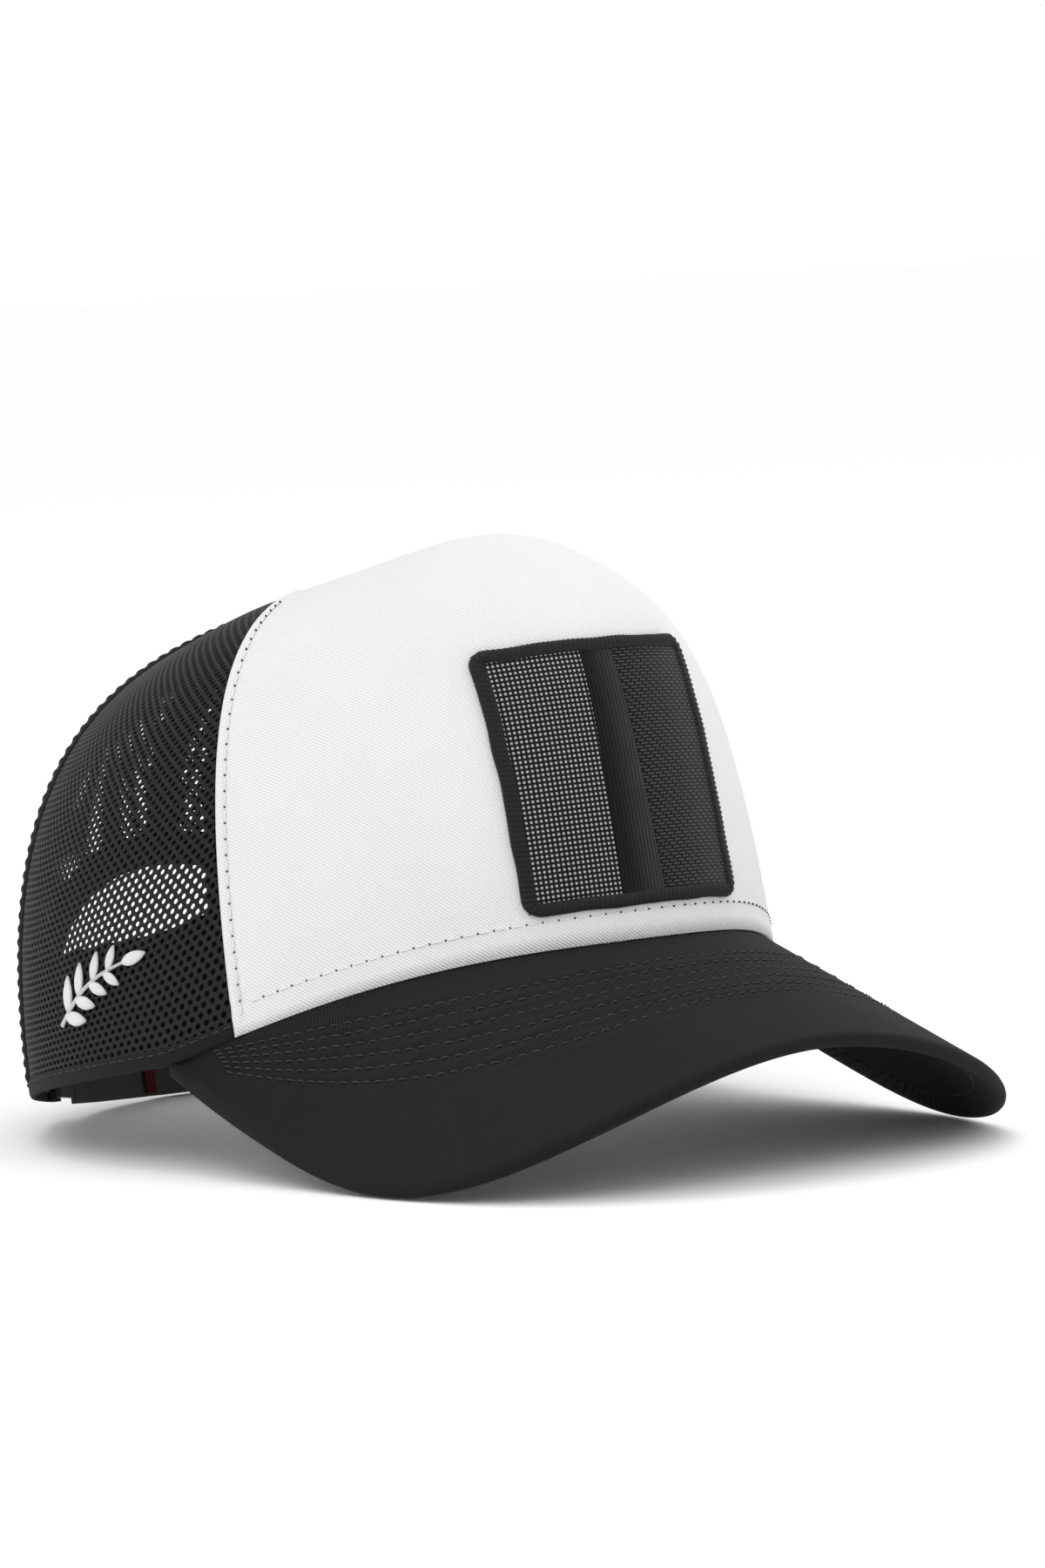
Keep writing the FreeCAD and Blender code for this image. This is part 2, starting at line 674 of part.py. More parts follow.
def strap_band(body, radius, dims):
    """Curved band about the body's Z axis, from its sewn root to its rounded tip."""
    thickness, height = dims["strap_thickness"], dims["strap_height"]
    inner, outer = radius - thickness / 2, radius + thickness / 2
    root = dims["strap_root_angle"]
    section = polygon(body, "XZ_Plane",
                      [(inner, -height / 2), (outer, -height / 2), (outer, height / 2),
                       (inner, height / 2)], turn=-root)
    band = body.newObject("PartDesign::Revolution", body.Name + "_band")
    band.Profile = section
    band.ReferenceAxis = (section, ["V_Axis"])
    sweep = root + dims["strap_tip_angle"]
    band.Angle = sweep.value
    band.setExpression("Angle", sweep.text)
    body.Document.recompute()
    tip = dims["strap_tip_angle"].value

    def at_tip(edge):
        middle = edge.CenterOfMass
        flat = edge.Curve.TypeId == "Part::GeomLine"
        level = flat and abs(edge.Curve.Direction.z) < 0.01
        return level and abs(math.degrees(math.atan2(middle.y, middle.x)) - tip) < 1.0

    round_edges(body, band, dims["strap_corner"], at_tip)
    body.Document.recompute()


def repeat_round(body, feature, dims, turn_back):
    """Repeat a hole or peg at the strap's pitch about the body's Z axis."""
    body.Document.recompute()
    pattern = body.newObject("PartDesign::PolarPattern", body.Name + "_row")
    pattern.Originals = [feature]
    pattern.Axis = (origin_plane(body, "Z_Axis"), [""])
    sweep = dims["strap_pitch"] * (dims["strap_count"] - 1)
    pattern.Angle = sweep.value
    pattern.setExpression("Angle", sweep.text)
    pattern.Occurrences = int(dims["strap_count"].value)
    pattern.setExpression("Occurrences", dims["strap_count"].text)
    pattern.Reversed = turn_back
    body.Tip = pattern
    body.Document.recompute()


def hole_strap(doc, dims):
    """Outer strap: a row of round holes along its middle."""
    body = new_body(doc, "hole_strap")
    strap_band(body, dims["strap_radius"], dims)
    start = new_sketch(body, "YZ_Plane", turn=dims["strap_pitch"])
    start.addGeometry(Part.Circle(Vector(), Vector(0, 0, 1), dims["strap_hole_radius"].value),
                      False)
    start.addConstraint(Sketcher.Constraint("Coincident", 0, 3, -1, 1))
    radius = start.addConstraint(
        Sketcher.Constraint("Radius", 0, dims["strap_hole_radius"].value))
    start.setExpression("Constraints[%d]" % radius, dims["strap_hole_radius"].text)
    before = body.Shape.Volume
    hole = body.newObject("PartDesign::Pocket", "hole_strap_hole")
    hole.Profile = start
    hole.Type = "ThroughAll"
    hole.Reversed = True
    doc.recompute()
    assert body.Shape.Volume < before - 10, "the strap hole cuts nothing"
    repeat_round(body, hole, dims, turn_back=True)
    return body


def peg_strap(doc, dims):
    """Inner strap: a row of tapered pegs that stand outward and snap through the holes."""
    body = new_body(doc, "peg_strap_drawn")
    thickness = dims["strap_thickness"]
    radius = dims["strap_radius"] - thickness - dims["strap_gap"]
    strap_band(body, radius, dims)
    outer = radius + thickness / 2
    profile = polygon(body, "XZ_Plane",
                      [(outer - 0.4, ZERO), (outer + dims["peg_length"], ZERO),
                       (outer + dims["peg_length"], dims["peg_tip_radius"]),
                       (outer - 0.4, dims["peg_radius"])], turn=dims["strap_pitch"])
    before = body.Shape.Volume
    peg = body.newObject("PartDesign::Revolution", "strap_peg")
    peg.Profile = profile
    peg.ReferenceAxis = (profile, ["H_Axis"])
    peg.Angle = 360.0
    doc.recompute()
    assert body.Shape.Volume > before + 5, "the peg adds nothing"
    repeat_round(body, peg, dims, turn_back=True)
    return body


def size_tab(doc, form, dims):
    """Narrow woven tab on the inner face of the peg strap."""
    outer_radius = (dims["strap_radius"] - dims["strap_thickness"] * 1.5 - dims["strap_gap"]
                    - LAYER_GAP)
    arcs = []
    for name, inset in (("size_tab_outer", ZERO), ("size_tab_inner", dims["size_tab_thickness"])):
        arc = doc.addObject("Part::Cylinder", name)
        radius = outer_radius - inset
        arc.Radius = radius.value
        arc.setExpression("Radius", radius.text)
        arc.setExpression("Height", (dims["strap_height"] - 1.0).text)
        arc.setExpression("Angle", (dims["size_tab_width"] / dims["strap_radius"] * 57.3).text)
        arcs.append(arc)
    return combine(doc, "Part::Cut", "size_tab", *arcs)


def strap_depth(form, side):
    """Depth of a strap's middle under the crown where it leaves the binding."""
    depth = form.binding_inside + form.strap_gap + form.strap_thickness / 2
    return depth if side > 0 else depth + form.strap_thickness + form.strap_gap


def strap_middle_radius(form, side):
    return form.strap_radius if side > 0 else form.strap_radius - form.strap_thickness - form.strap_gap


def strap_hinge(form, side):
    """Middle of the upright line about which a strap bends at its root."""
    radius = strap_middle_radius(form, side)
    root = math.radians(form.strap_root_angle)
    return Vector(side * radius * math.sin(root), form.strap_centre_y + radius * math.cos(root),
                  form.strap_base + form.strap_height / 2)


def strap_tabs(doc, form):
    """Fixed ends of both straps, sewn between the mesh and the sweatband."""
    pieces = []
    for name, side in (("hole_strap_tab", 1), ("peg_strap_tab", -1)):
        depth = strap_depth(form, side)
        edge = abs(strap_hinge(form, side).x) + form.tab_clearance
        near = 90.0
        while form.layer(near, 0.02, depth).x > edge:
            near += 0.05
        far = near - math.degrees(form.tab_length / form.strap_radius)
        low = form.strap_base + 0.5
        half = form.strap_thickness / 2
        shape = crown_slab(form, lambda up: (side * near, side * far),
                           between_heights(form, low, low + form.strap_height - 1.5),
                           (depth - half, depth + half), columns=7, rows=5)
        pieces.append(new_feature(doc, name, shape))
    return pieces


def button_pieces(doc, dims):
    """Domed button over the pole and the rivet that holds it through the crown."""
    radius, height, wall = dims["button_radius"], dims["button_height"], dims["button_wall"]
    sphere = (radius * radius + height * height) / (height * 2.0)
    base = sphere - height
    cap = doc.addObject("Part::Sphere", "button_cap")
    cap.setExpression("Radius", sphere.text)
    cap.setExpression("Angle1", "asin(%s / %s)" % (base.text, sphere.text))
    hollow = doc.addObject("Part::Sphere", "button_hollow")
    hollow.setExpression("Radius", (sphere - wall).text)
    button = combine(doc, "Part::Cut", "top_button", cap, hollow)

    disc = doc.addObject("Part::Cylinder", "rivet_disc")
    disc.setExpression("Radius", dims["rivet_radius"].text)
    disc.setExpression("Height", dims["rivet_thickness"].text)
    shank = doc.addObject("Part::Cylinder", "rivet_shank")
    shank.setExpression("Radius", dims["shank_radius"].text)
    shank.setExpression("Height", (dims["rivet_thickness"] * 1.5 + height).text)
    rivet = combine(doc, "Part::Fuse", "button_rivet", disc, shank)
    return button, rivet, base.value


def pole_placement(form, offset):
    """Placement on the crown's axis at the pole, square to the crown, the given distance up."""
    step = 8.0
    ahead = form.crown(0.0, form.rise_at_reach(0.0, step))
    behind = form.crown(180.0, form.rise_at_reach(180.0, step))
    tilt = math.degrees(math.atan2(behind.z - ahead.z, behind.y - ahead.y))
    turn = FreeCAD.Rotation(Vector(1, 0, 0), tilt)
    middle = Vector(0, form.pole_y, (ahead.z + behind.z) / 2)
    return FreeCAD.Placement(middle + turn.multVec(Vector(0, 0, offset)), turn)


def strap_placement(form, turn, height):
    """Placement of a piece that is drawn about the straps' common upright axis."""
    return FreeCAD.Placement(Vector(0, form.strap_centre_y, height),
                             FreeCAD.Rotation(Vector(0, 0, 1), turn))


def mirrored_strap(doc, name, body):
    """The strap that starts on the other side of the opening."""
    mirror = doc.addObject("Part::Mirroring", name)
    mirror.Label = name
    mirror.Source = body
    mirror.Normal = Vector(0, 1, 0)
    return mirror


def build_cap(doc, sheet):
    """All sub-parts, each with its placement in the worn cap."""
    form = CapForm(sheet)
    dims = {alias: Dim(float(getattr(sheet, alias)), "Dimensions." + alias)
            for alias in DIMENSIONS}
    placed = []
    for group in (front_pieces(doc, form), mesh_sides(doc, form), rear_pieces(doc, form, dims),
                  visor_pieces(doc, form), inside_pieces(doc, form),
                  patch_pieces(doc, form, dims), side_emblem(doc, form),
                  strap_tabs(doc, form)):
        placed += [(piece, FreeCAD.Placement()) for piece in group]

    middle = form.strap_base + form.strap_height / 2
    placed.append((hole_strap(doc, dims), strap_placement(form, 90.0, middle)))
    placed.append((mirrored_strap(doc, "peg_strap", peg_strap(doc, dims)),
                   strap_placement(form, 90.0, middle)))
    tab_turn = 90.0 + 1.5 * form.strap_pitch
    placed.append((size_tab(doc, form, dims),
                   strap_placement(form, tab_turn, form.strap_base + 0.5)))

    button, rivet, button_base = button_pieces(doc, dims)
    placed.append((button, pole_placement(form, 0.2 - button_base)))
    rivet_low = -(form.panel_thickness + 0.4 + form.rivet_thickness)
    placed.append((rivet, pole_placement(form, rivet_low)))
    return form, placed


def check_document(doc, nodes):
    """Stop if any object failed to compute or any sub-part has no valid shape."""
    for item in doc.Objects:
        bad = [state for state in item.State if state in ("Invalid", "Error")]
        if bad:
            raise RuntimeError("%s is %s" % (item.Label, bad))
    for node in nodes:
        if node.Shape.isNull() or not node.Shape.isValid() or node.Shape.Volume <= 0:
            raise RuntimeError("%s has no valid shape" % node.Label)


def rest_cap(doc, form, placed):
    """Pitch the worn cap, stand it on z = 0 and put the origin under the middle of its box."""
    pitch = FreeCAD.Rotation(Vector(1, 0, 0), -form.rest_pitch)
    turned = FreeCAD.Placement(Vector(), pitch)
    box = FreeCAD.BoundBox()
    for node, placement in placed:
        node.Placement = turned.multiply(placement)
    doc.recompute()
    for node, _ in placed:
        box.add(node.Shape.optimalBoundingBox(False, False))
    move = Vector(-(box.XMin + box.XMax) / 2, -(box.YMin + box.YMax) / 2, -box.ZMin)
    rest = FreeCAD.Placement(move, pitch)
    for node, placement in placed:
        node.Placement = rest.multiply(placement)
    doc.recompute()
    return rest, box


def main():
    doc = FreeCAD.newDocument("trucker_cap")
    sheet = make_sheet(doc)
    form, placed = build_cap(doc, sheet)
    doc.recompute()
    rest, box = rest_cap(doc, form, placed)
    nodes = [node for node, _ in placed]
    check_document(doc, nodes)
    os.makedirs("parts", exist_ok=True)
    for node in nodes:
        node.Shape.exportStep("parts/%s.step" % node.Label)
    print("%d sub-parts, size %.1f x %.1f x %.1f mm" % (
        len(nodes), box.XLength, box.YLength, box.ZLength))
    for side, name in ((1, "hole strap"), (-1, "peg strap")):
        print(name, "hinge", rest.multVec(strap_hinge(form, side)))
    print("worn origin at", rest.Base)


main()
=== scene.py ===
"""Trucker cap: white twill front, black open mesh, stitched visor, front patch and snap closure."""
import json
import logging
import math
from collections.abc import Callable
from dataclasses import dataclass, field
from enum import Enum

import bpy
import numpy as np
from mathutils import Matrix, Vector


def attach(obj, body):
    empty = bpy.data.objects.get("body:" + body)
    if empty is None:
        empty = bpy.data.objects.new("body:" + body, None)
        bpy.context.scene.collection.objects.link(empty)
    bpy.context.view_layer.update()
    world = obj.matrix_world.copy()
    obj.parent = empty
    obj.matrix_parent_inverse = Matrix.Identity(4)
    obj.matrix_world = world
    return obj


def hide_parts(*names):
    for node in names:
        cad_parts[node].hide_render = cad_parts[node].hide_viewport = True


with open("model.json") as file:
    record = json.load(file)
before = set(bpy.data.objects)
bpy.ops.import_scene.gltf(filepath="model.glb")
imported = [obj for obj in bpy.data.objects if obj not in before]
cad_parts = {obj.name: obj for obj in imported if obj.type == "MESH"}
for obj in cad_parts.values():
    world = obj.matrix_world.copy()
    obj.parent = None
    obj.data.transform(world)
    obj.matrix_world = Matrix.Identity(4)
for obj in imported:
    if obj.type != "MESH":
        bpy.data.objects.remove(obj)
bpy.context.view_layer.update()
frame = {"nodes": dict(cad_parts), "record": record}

MM = 0.001                # all shapes are worked out in millimetres of the worn cap
LOG = logging.getLogger("cap")

Curve = Callable[[np.ndarray], np.ndarray]
Spots = tuple[np.ndarray, np.ndarray]     # angles and rises of crown points
Tone = tuple[float, float, float]


class Side(Enum):
    """The wearer's two sides; the value is the sign of X."""
    RIGHT = -1
    LEFT = 1


# --------------------------------------------------------------------------- placing

@dataclass(frozen=True)
class RestPose:
    """Turns worn-cap millimetres into the standing cap's metres.

    The opening's mount gives both: its axis is the worn cap's downward direction, and its point
    is a known worn point.
    """
    pitch: float
    shift: np.ndarray

    @classmethod
    def from_frame(cls, worn_point: tuple[float, float, float]) -> "RestPose":
        """Read the pose from the frame.

        Args:
            worn_point: where the opening's mount lies in the worn cap, in millimetres.

        Returns:
            The pose that carries worn points to the frame's metres.
        """
        mounts = {mount["name"]: mount for mount in frame["record"]["mounts"]}
        mount = mounts["head_opening"]
        pitch = math.atan2(-mount["axis"][1], -mount["axis"][2])
        pose = cls(pitch, np.zeros(3))
        shift = np.array(mount["pos_m"]) - pose.turn(np.array(worn_point) * MM)
        return cls(pitch, shift)

    def turn(self, vectors: np.ndarray) -> np.ndarray:
        """Turn vectors about X by the pitch, which lifts the visor."""
        c, s = math.cos(self.pitch), math.sin(self.pitch)
        x, y, z = vectors[..., 0], vectors[..., 1], vectors[..., 2]
        return np.stack([x, c * y + s * z, c * z - s * y], axis=-1)

    def place(self, points: np.ndarray) -> np.ndarray:
        """Standing metres of worn millimetre points."""
        return self.turn(np.asarray(points, dtype=float) * MM) + self.shift


REST = RestPose.from_frame((0.0, -2.0, 3.0))


# --------------------------------------------------------------------------- the cap's form

def unit(vectors: np.ndarray) -> np.ndarray:
    """Vectors scaled to length one."""
    return vectors / np.maximum(np.linalg.norm(vectors, axis=-1, keepdims=True), 1e-12)


def smooth(low: float, high: float, x: np.ndarray) -> np.ndarray:
    """Smooth step from 0 at low to 1 at high."""
    share = np.clip((x - low) / (high - low), 0, 1)
    return share * share * (3 - 2 * share)


@dataclass
class CapForm:
    """Crown and visor surfaces of the worn cap, in millimetres, as functions of two parameters.

    A crown point has an angle in radians (0 at the front centre, positive towards the wearer's
    left) and a rise from 0 at the hem to 1 at the pole.
    """
    hem_half_width: float = 88.8
    hem_front: float = 103.4
    hem_rear: float = 99.7
    hem_lean: float = 0.046
    hem_squareness: float = 0.18
    side_rise: float = 2.28
    pole_y: float = 10.1
    pole_height: float = 110.1
    shoulder_reach: float = 0.992
    shoulder_lean: float = 0.017
    shoulder_height: float = 0.957
    shoulder_tilt: float = 0.053
    shoulder_pull: float = 1.85
    pull_front: float = 0.67
    pull_ends: float = 0.70
    crest_height: float = 9.7
    crest_y: float = -70.6
    crest_front_run: float = 21.6
    crest_rear_run: float = 48.4
    crest_half_width: float = 25.1
    bend_radius: float = 94.2
    visor_slope: float = math.radians(27.2)
    visor_half_width: float = 85.8
    visor_widest_y: float = -56.3
    visor_tip_y: float = -158.7
    visor_fullness: float = 2.86
    corner_angle: float = math.radians(77.2)
    front_seam_angle: float = 65.6
    front_seam_sweep: float = 10.4
    side_seam: float = math.radians(118.0)
    half_visor: float = 1.7
    corner: np.ndarray = field(init=False)
    outline: np.ndarray = field(init=False)

    def __post_init__(self) -> None:
        """Work out the corner where the visor meets the hem, and the visor's edge."""
        self.corner = np.stack(self.hem_plan(np.array(self.corner_angle)))
        self.outline = self.visor_outline()

    def hem_plan(self, angle: np.ndarray) -> tuple[np.ndarray, np.ndarray]:
        """Hem outline from above: an ellipse, squared a little at both ends."""
        c = np.cos(angle)
        x = self.hem_half_width * np.sin(angle) * (1 - self.hem_lean * c - self.hem_squareness * c * c)
        return x, -np.where(c > 0, self.hem_front, self.hem_rear) * c

    def visor_height(self, x: np.ndarray, y: np.ndarray) -> np.ndarray:
        """Visor surface: a cylinder bent across X that slopes down towards the tip."""
        drop = self.bend_radius - np.sqrt(np.maximum(self.bend_radius ** 2 - x ** 2, 1.0))
        corner_drop = self.bend_radius - math.sqrt(self.bend_radius ** 2 - self.corner[0] ** 2)
        return (corner_drop - drop - math.tan(self.visor_slope) * (self.corner[1] - y)
                + self.side_rise)

    def visor_normal(self, x: np.ndarray, y: np.ndarray) -> np.ndarray:
        """Upward normal of the visor surface."""
        across = x / np.sqrt(np.maximum(self.bend_radius ** 2 - x ** 2, 1.0))
        along = np.full_like(across, -math.tan(self.visor_slope))
        return unit(np.stack([across, along, np.ones_like(across)], axis=-1))

    def hem_height(self, angle: np.ndarray) -> np.ndarray:
        """The hem follows the visor in front and falls gently to the back."""
        x, y = self.hem_plan(angle)
        fall = np.sin(np.abs(angle)) / math.sin(self.corner_angle)
        return np.where(np.abs(angle) < self.corner_angle, self.visor_height(x, y),
                        self.side_rise * fall ** 2)

    def crown(self, angle: np.ndarray, rise: np.ndarray) -> np.ndarray:
        """Crown point: a rational arc from the hem over a shoulder to the pole, plus the crest.

        Args:
            angle: angle round the crown in radians.
            rise: 0 at the hem to 1 at the pole.

        Returns:
            Points in millimetres, one row of three for each pair.
        """
        angle, rise = np.broadcast_arrays(angle, rise)
        c = np.cos(angle)
        reach = self.shoulder_reach - self.shoulder_lean * c
        height = self.shoulder_height + self.shoulder_tilt * c * (1.1 - c * c)
        pull = self.shoulder_pull + self.pull_front * c + self.pull_ends * np.cos(2 * angle)
        start, middle = (1 - rise) ** 2, 2 * rise * (1 - rise) * pull
        total = start + middle + rise ** 2
        out, up = (start + middle * reach) / total, (middle * height + rise ** 2) / total
        plan_x, plan_y = self.hem_plan(angle)
        hem = self.hem_height(angle)
        x = plan_x * out
        y = self.pole_y + (plan_y - self.pole_y) * out
        run = np.where(y < self.crest_y, self.crest_front_run, self.crest_rear_run)
        crest = self.crest_height * np.exp(-((y - self.crest_y) / run) ** 2
                                           - (x / self.crest_half_width) ** 2)
        return np.stack([x, y, hem + (self.pole_height - hem) * up + crest * up ** 2], axis=-1)

    def outward(self, angle: np.ndarray, rise: np.ndarray) -> np.ndarray:
        """Unit normal of the crown, pointing away from the head."""
        step = 1e-4
        rise = np.clip(rise, step, 1 - 2 * step)
        across = self.crown(angle + step, rise) - self.crown(angle - step, rise)
        upward = self.crown(angle, rise + step) - self.crown(angle, rise - step)
        return unit(np.cross(across, upward))

    def layer(self, angle: np.ndarray, rise: np.ndarray, lift: np.ndarray | float) -> np.ndarray:
        """Crown point moved out by a lift, or in where the lift is negative."""
        angle, rise = np.broadcast_arrays(angle, rise)
        lift = np.broadcast_to(lift, angle.shape)
        return self.crown(angle, rise) + self.outward(angle, rise) * lift[..., None]

    def rise_where(self, angle: np.ndarray, measure: Curve,
                   target: np.ndarray | float) -> np.ndarray:
        """Rise at which a measure of the crown point, which grows with rise, meets a target."""
        low, high = np.zeros_like(angle), np.ones_like(angle)
        for _ in range(36):
            middle = (low + high) / 2
            below = measure(self.crown(angle, middle)) < target
            low, high = np.where(below, middle, low), np.where(below, high, middle)
        return (low + high) / 2

    def rise_at_height(self, angle: np.ndarray, height: np.ndarray | float) -> np.ndarray:
        """Rise of the point the given height above the hem."""
        angle = np.asarray(angle, dtype=float)
        hem = self.hem_height(angle)
        return self.rise_where(angle, lambda p: p[..., 2] - hem, height)

    def rise_at_reach(self, angle: np.ndarray, reach: float) -> np.ndarray:
        """Rise of the point the given distance from the pole, seen from above."""
        angle = np.asarray(angle, dtype=float)
        return self.rise_where(
            angle, lambda p: -np.hypot(p[..., 0], p[..., 1] - self.pole_y), -reach)

    def front_seam(self, rise: np.ndarray) -> np.ndarray:
        """Angle of the seam beside the front panel, which sweeps forward as it rises."""
        return np.radians(self.front_seam_angle - self.front_seam_sweep * rise ** 1.6)

    def metre(self, angle: np.ndarray, rise: np.ndarray) -> np.ndarray:
        """Millimetres per radian round the crown at a point."""
        step = 0.01
        gap = self.crown(angle + step, rise) - self.crown(angle - step, rise)
        return np.linalg.norm(gap, axis=-1) / (2 * step)

    def locate(self, first: np.ndarray, height: np.ndarray, axis: int,
               start: float | np.ndarray) -> Spots:
        """Angle and rise of the crown point that has two given coordinates, by Newton's rule.

        Args:
            first: the point's coordinate along the axis.
            height: the point's Z.
            axis: 0 for X or 1 for Y.
            start: an angle on the right side of the crown to begin from.

        Returns:
            The angles and the rises.
        """
        first, height = np.broadcast_arrays(np.asarray(first, float), np.asarray(height, float))
        angle, rise, step = np.zeros_like(first) + start, np.clip(height / 160, 0.02, 0.9), 1e-4
        for _ in range(14):
            here = self.crown(angle, rise)
            turned = (self.crown(angle + step, rise) - here) / step
            raised = (self.crown(angle, rise + step) - here) / step
            miss_first, miss_height = first - here[..., axis], height - here[..., 2]
            size = turned[..., axis] * raised[..., 2] - raised[..., axis] * turned[..., 2]
            angle = angle + (miss_first * raised[..., 2] - miss_height * raised[..., axis]) / size
            rise = rise + (turned[..., axis] * miss_height - turned[..., 2] * miss_first) / size
            rise = np.clip(rise, 0.001, 0.95)
        return angle, rise

    def visor_outline(self) -> np.ndarray:
        """Left half of the visor's edge in plan: a superellipse, then a run back to the hem."""
        power = 2 / self.visor_fullness
        turn = np.linspace(0, math.pi / 2, 241)
        length = self.visor_widest_y - self.visor_tip_y
        front = np.stack([self.visor_half_width * np.sin(turn) ** power,
                          self.visor_widest_y - length * np.maximum(np.cos(turn), 0) ** power], -1)
        back = np.linspace(0, 1, 81)[1:]
        rear = np.stack([
            self.visor_half_width - (self.visor_half_width - self.corner[0]) * back ** 2.2,
            self.visor_widest_y + (self.corner[1] - self.visor_widest_y) * back], -1)
        return np.concatenate([front, rear])

    def visor_edge(self, across: np.ndarray, end: float = 0.985) -> np.ndarray:
        """Edge point in plan; across runs from -1 to 1 in equal steps along the edge."""
        lengths = np.concatenate([[0], np.cumsum(
            np.linalg.norm(np.diff(self.outline, axis=0), axis=1))])
        target = np.abs(across) * end * lengths[-1]
        x = np.interp(target, lengths, self.outline[:, 0]) * np.sign(across)
        return np.stack([x, np.interp(target, lengths, self.outline[:, 1])], -1)

    def visor_rear(self, across: np.ndarray) -> np.ndarray:
        """Plan point where the visor runs in under the front panel."""
        x, y = self.hem_plan(across * (self.corner_angle - math.radians(3.0)))
        hem = np.stack([x, y], -1)
        return hem - unit(hem) * 0.8

    def on_visor(self, plan: np.ndarray, lift: np.ndarray | float) -> np.ndarray:
        """Visor point over a plan point, moved along the surface normal by a lift."""
        x, y = plan[..., 0], plan[..., 1]
        lift = np.broadcast_to(lift, x.shape)
        top = np.stack([x, y, self.visor_height(x, y)], -1)
        return top + self.visor_normal(x, y) * lift[..., None]


FORM = CapForm()


# --------------------------------------------------------------------------- meshes

def make_object(name: str, points: np.ndarray, faces: np.ndarray,
                uv: np.ndarray | None = None) -> bpy.types.Object:
    """Build a smooth-shaded object from worn points and faces of one size.

    Args:
        name: the piece's name.
        points: (n, 3) worn millimetre points.
        faces: (f, k) vertex numbers of the faces.
        uv: (n, 2) surface coordinates in millimetres, one pair for each point.

    Returns:
        The new object, with its place in its mesh and its faces turned outward.
    """
    placed = REST.place(points.reshape(-1, 3))
    corner = placed[faces[:, 0]]
    fan = sum(np.einsum("ij,ij->i", corner, np.cross(placed[faces[:, k]], placed[faces[:, k + 1]]))
              for k in range(1, faces.shape[1] - 1))
    if fan.sum() < 0:
        faces = faces[:, ::-1]
    mesh = bpy.data.meshes.new(name)
    mesh.vertices.add(len(placed))
    mesh.vertices.foreach_set("co", placed.astype(np.float32).ravel())
    count, size = faces.shape
    mesh.loops.add(count * size)
    mesh.loops.foreach_set("vertex_index", faces.astype(np.int32).ravel())
    mesh.polygons.add(count)
    mesh.polygons.foreach_set("loop_start", np.arange(0, count * size, size, dtype=np.int32))
    mesh.polygons.foreach_set("use_smooth", np.ones(count, dtype=bool))
    if uv is not None:
        layer = mesh.uv_layers.new(name="UVMap")
        layer.data.foreach_set("uv", uv.reshape(-1, 2)[faces.ravel()].astype(np.float32).ravel())
    mesh.update(calc_edges=True)
    mesh.validate()
    item = bpy.data.objects.new(name, mesh)
    bpy.context.scene.collection.objects.link(item)
    return item


def quads(rows: int, columns: int, wrap: bool = False, start: int = 0) -> np.ndarray:
    """Faces of a grid of points; wrap joins the last column to the first."""
    across = columns if wrap else columns - 1
    i, j = np.meshgrid(np.arange(rows - 1), np.arange(across), indexing="ij")
    k = (j + 1) % columns
    corners = [i * columns + j, (i + 1) * columns + j, (i + 1) * columns + k, i * columns + k]
    return np.stack(corners, -1).reshape(-1, 4) + start


def surface_uv(points: np.ndarray) -> np.ndarray:
    """Millimetre coordinates of a grid: running lengths along its rows and its columns."""
    along = np.linalg.norm(np.diff(points, axis=0), axis=-1)
    up = np.linalg.norm(np.diff(points, axis=1), axis=-1)
    u = np.zeros(points.shape[:2])
    u[1:] = np.cumsum(along, axis=0)
    v = np.zeros(points.shape[:2])
    v[:, 1:] = np.cumsum(up, axis=1)
    middle = u.shape[0] // 2
    return np.stack([u - u[middle:middle + 1], v], -1)


def shell(name: str, outer: np.ndarray, inner: np.ndarray,
          uv: np.ndarray | None = None) -> bpy.types.Object:
    """Closed cloth piece between two grids of points, with a rim all round.

    Args:
        name: the piece's name.
        outer: (rows, columns, 3) outer face.
        inner: the inner face, point for point.
        uv: surface coordinates; worked out from the outer face when left out.

    Returns:
        The piece.
    """
    rows, columns = outer.shape[:2]
    uv = surface_uv(outer) if uv is None else uv
    total = rows * columns
    front = quads(rows, columns)
    back = quads(rows, columns, start=total)[:, ::-1]
    grid = np.arange(total).reshape(rows, columns)
    ring = np.concatenate([grid[:, 0], grid[-1, 1:], grid[-2::-1, -1], grid[0, -2:0:-1]])
    after = np.roll(ring, -1)
    rim = np.stack([after, ring, ring + total, after + total], -1)
    points = np.concatenate([outer.reshape(-1, 3), inner.reshape(-1, 3)])
    doubled = np.concatenate([uv.reshape(-1, 2), uv.reshape(-1, 2)])
    return make_object(name, points, np.concatenate([front, back, rim]), doubled)


def loft(name: str, points: np.ndarray, closed: bool = False) -> bpy.types.Object:
    """Skin over a row of closed rings of points.

    Args:
        name: the piece's name.
        points: (n, k, 3) rings of points.
        closed: whether the last ring joins the first; if not, both ends are closed flat.

    Returns:
        The piece.
    """
    if not closed:
        ends = points[[0, -1]].mean(axis=1, keepdims=True)
        points = np.concatenate([np.broadcast_to(ends[:1], points[:1].shape), points,
                                 np.broadcast_to(ends[1:], points[:1].shape)])
    rows, columns = points.shape[:2]
    faces = quads(rows, columns, wrap=True)
    if closed:
        last = (rows - 1) * columns + np.arange(columns)
        first = np.arange(columns)
        faces = np.concatenate([faces, np.stack(
            [last, first, np.roll(first, -1), np.roll(last, -1)], -1)])
    length = np.concatenate([[0], np.cumsum(
        np.linalg.norm(np.diff(points.mean(axis=1), axis=0), axis=-1))])
    around = np.arange(columns) * 2 * math.pi / columns
    uv = np.stack(np.broadcast_arrays(length[:, None], around[None]), -1)
    return make_object(name, points, faces, uv)


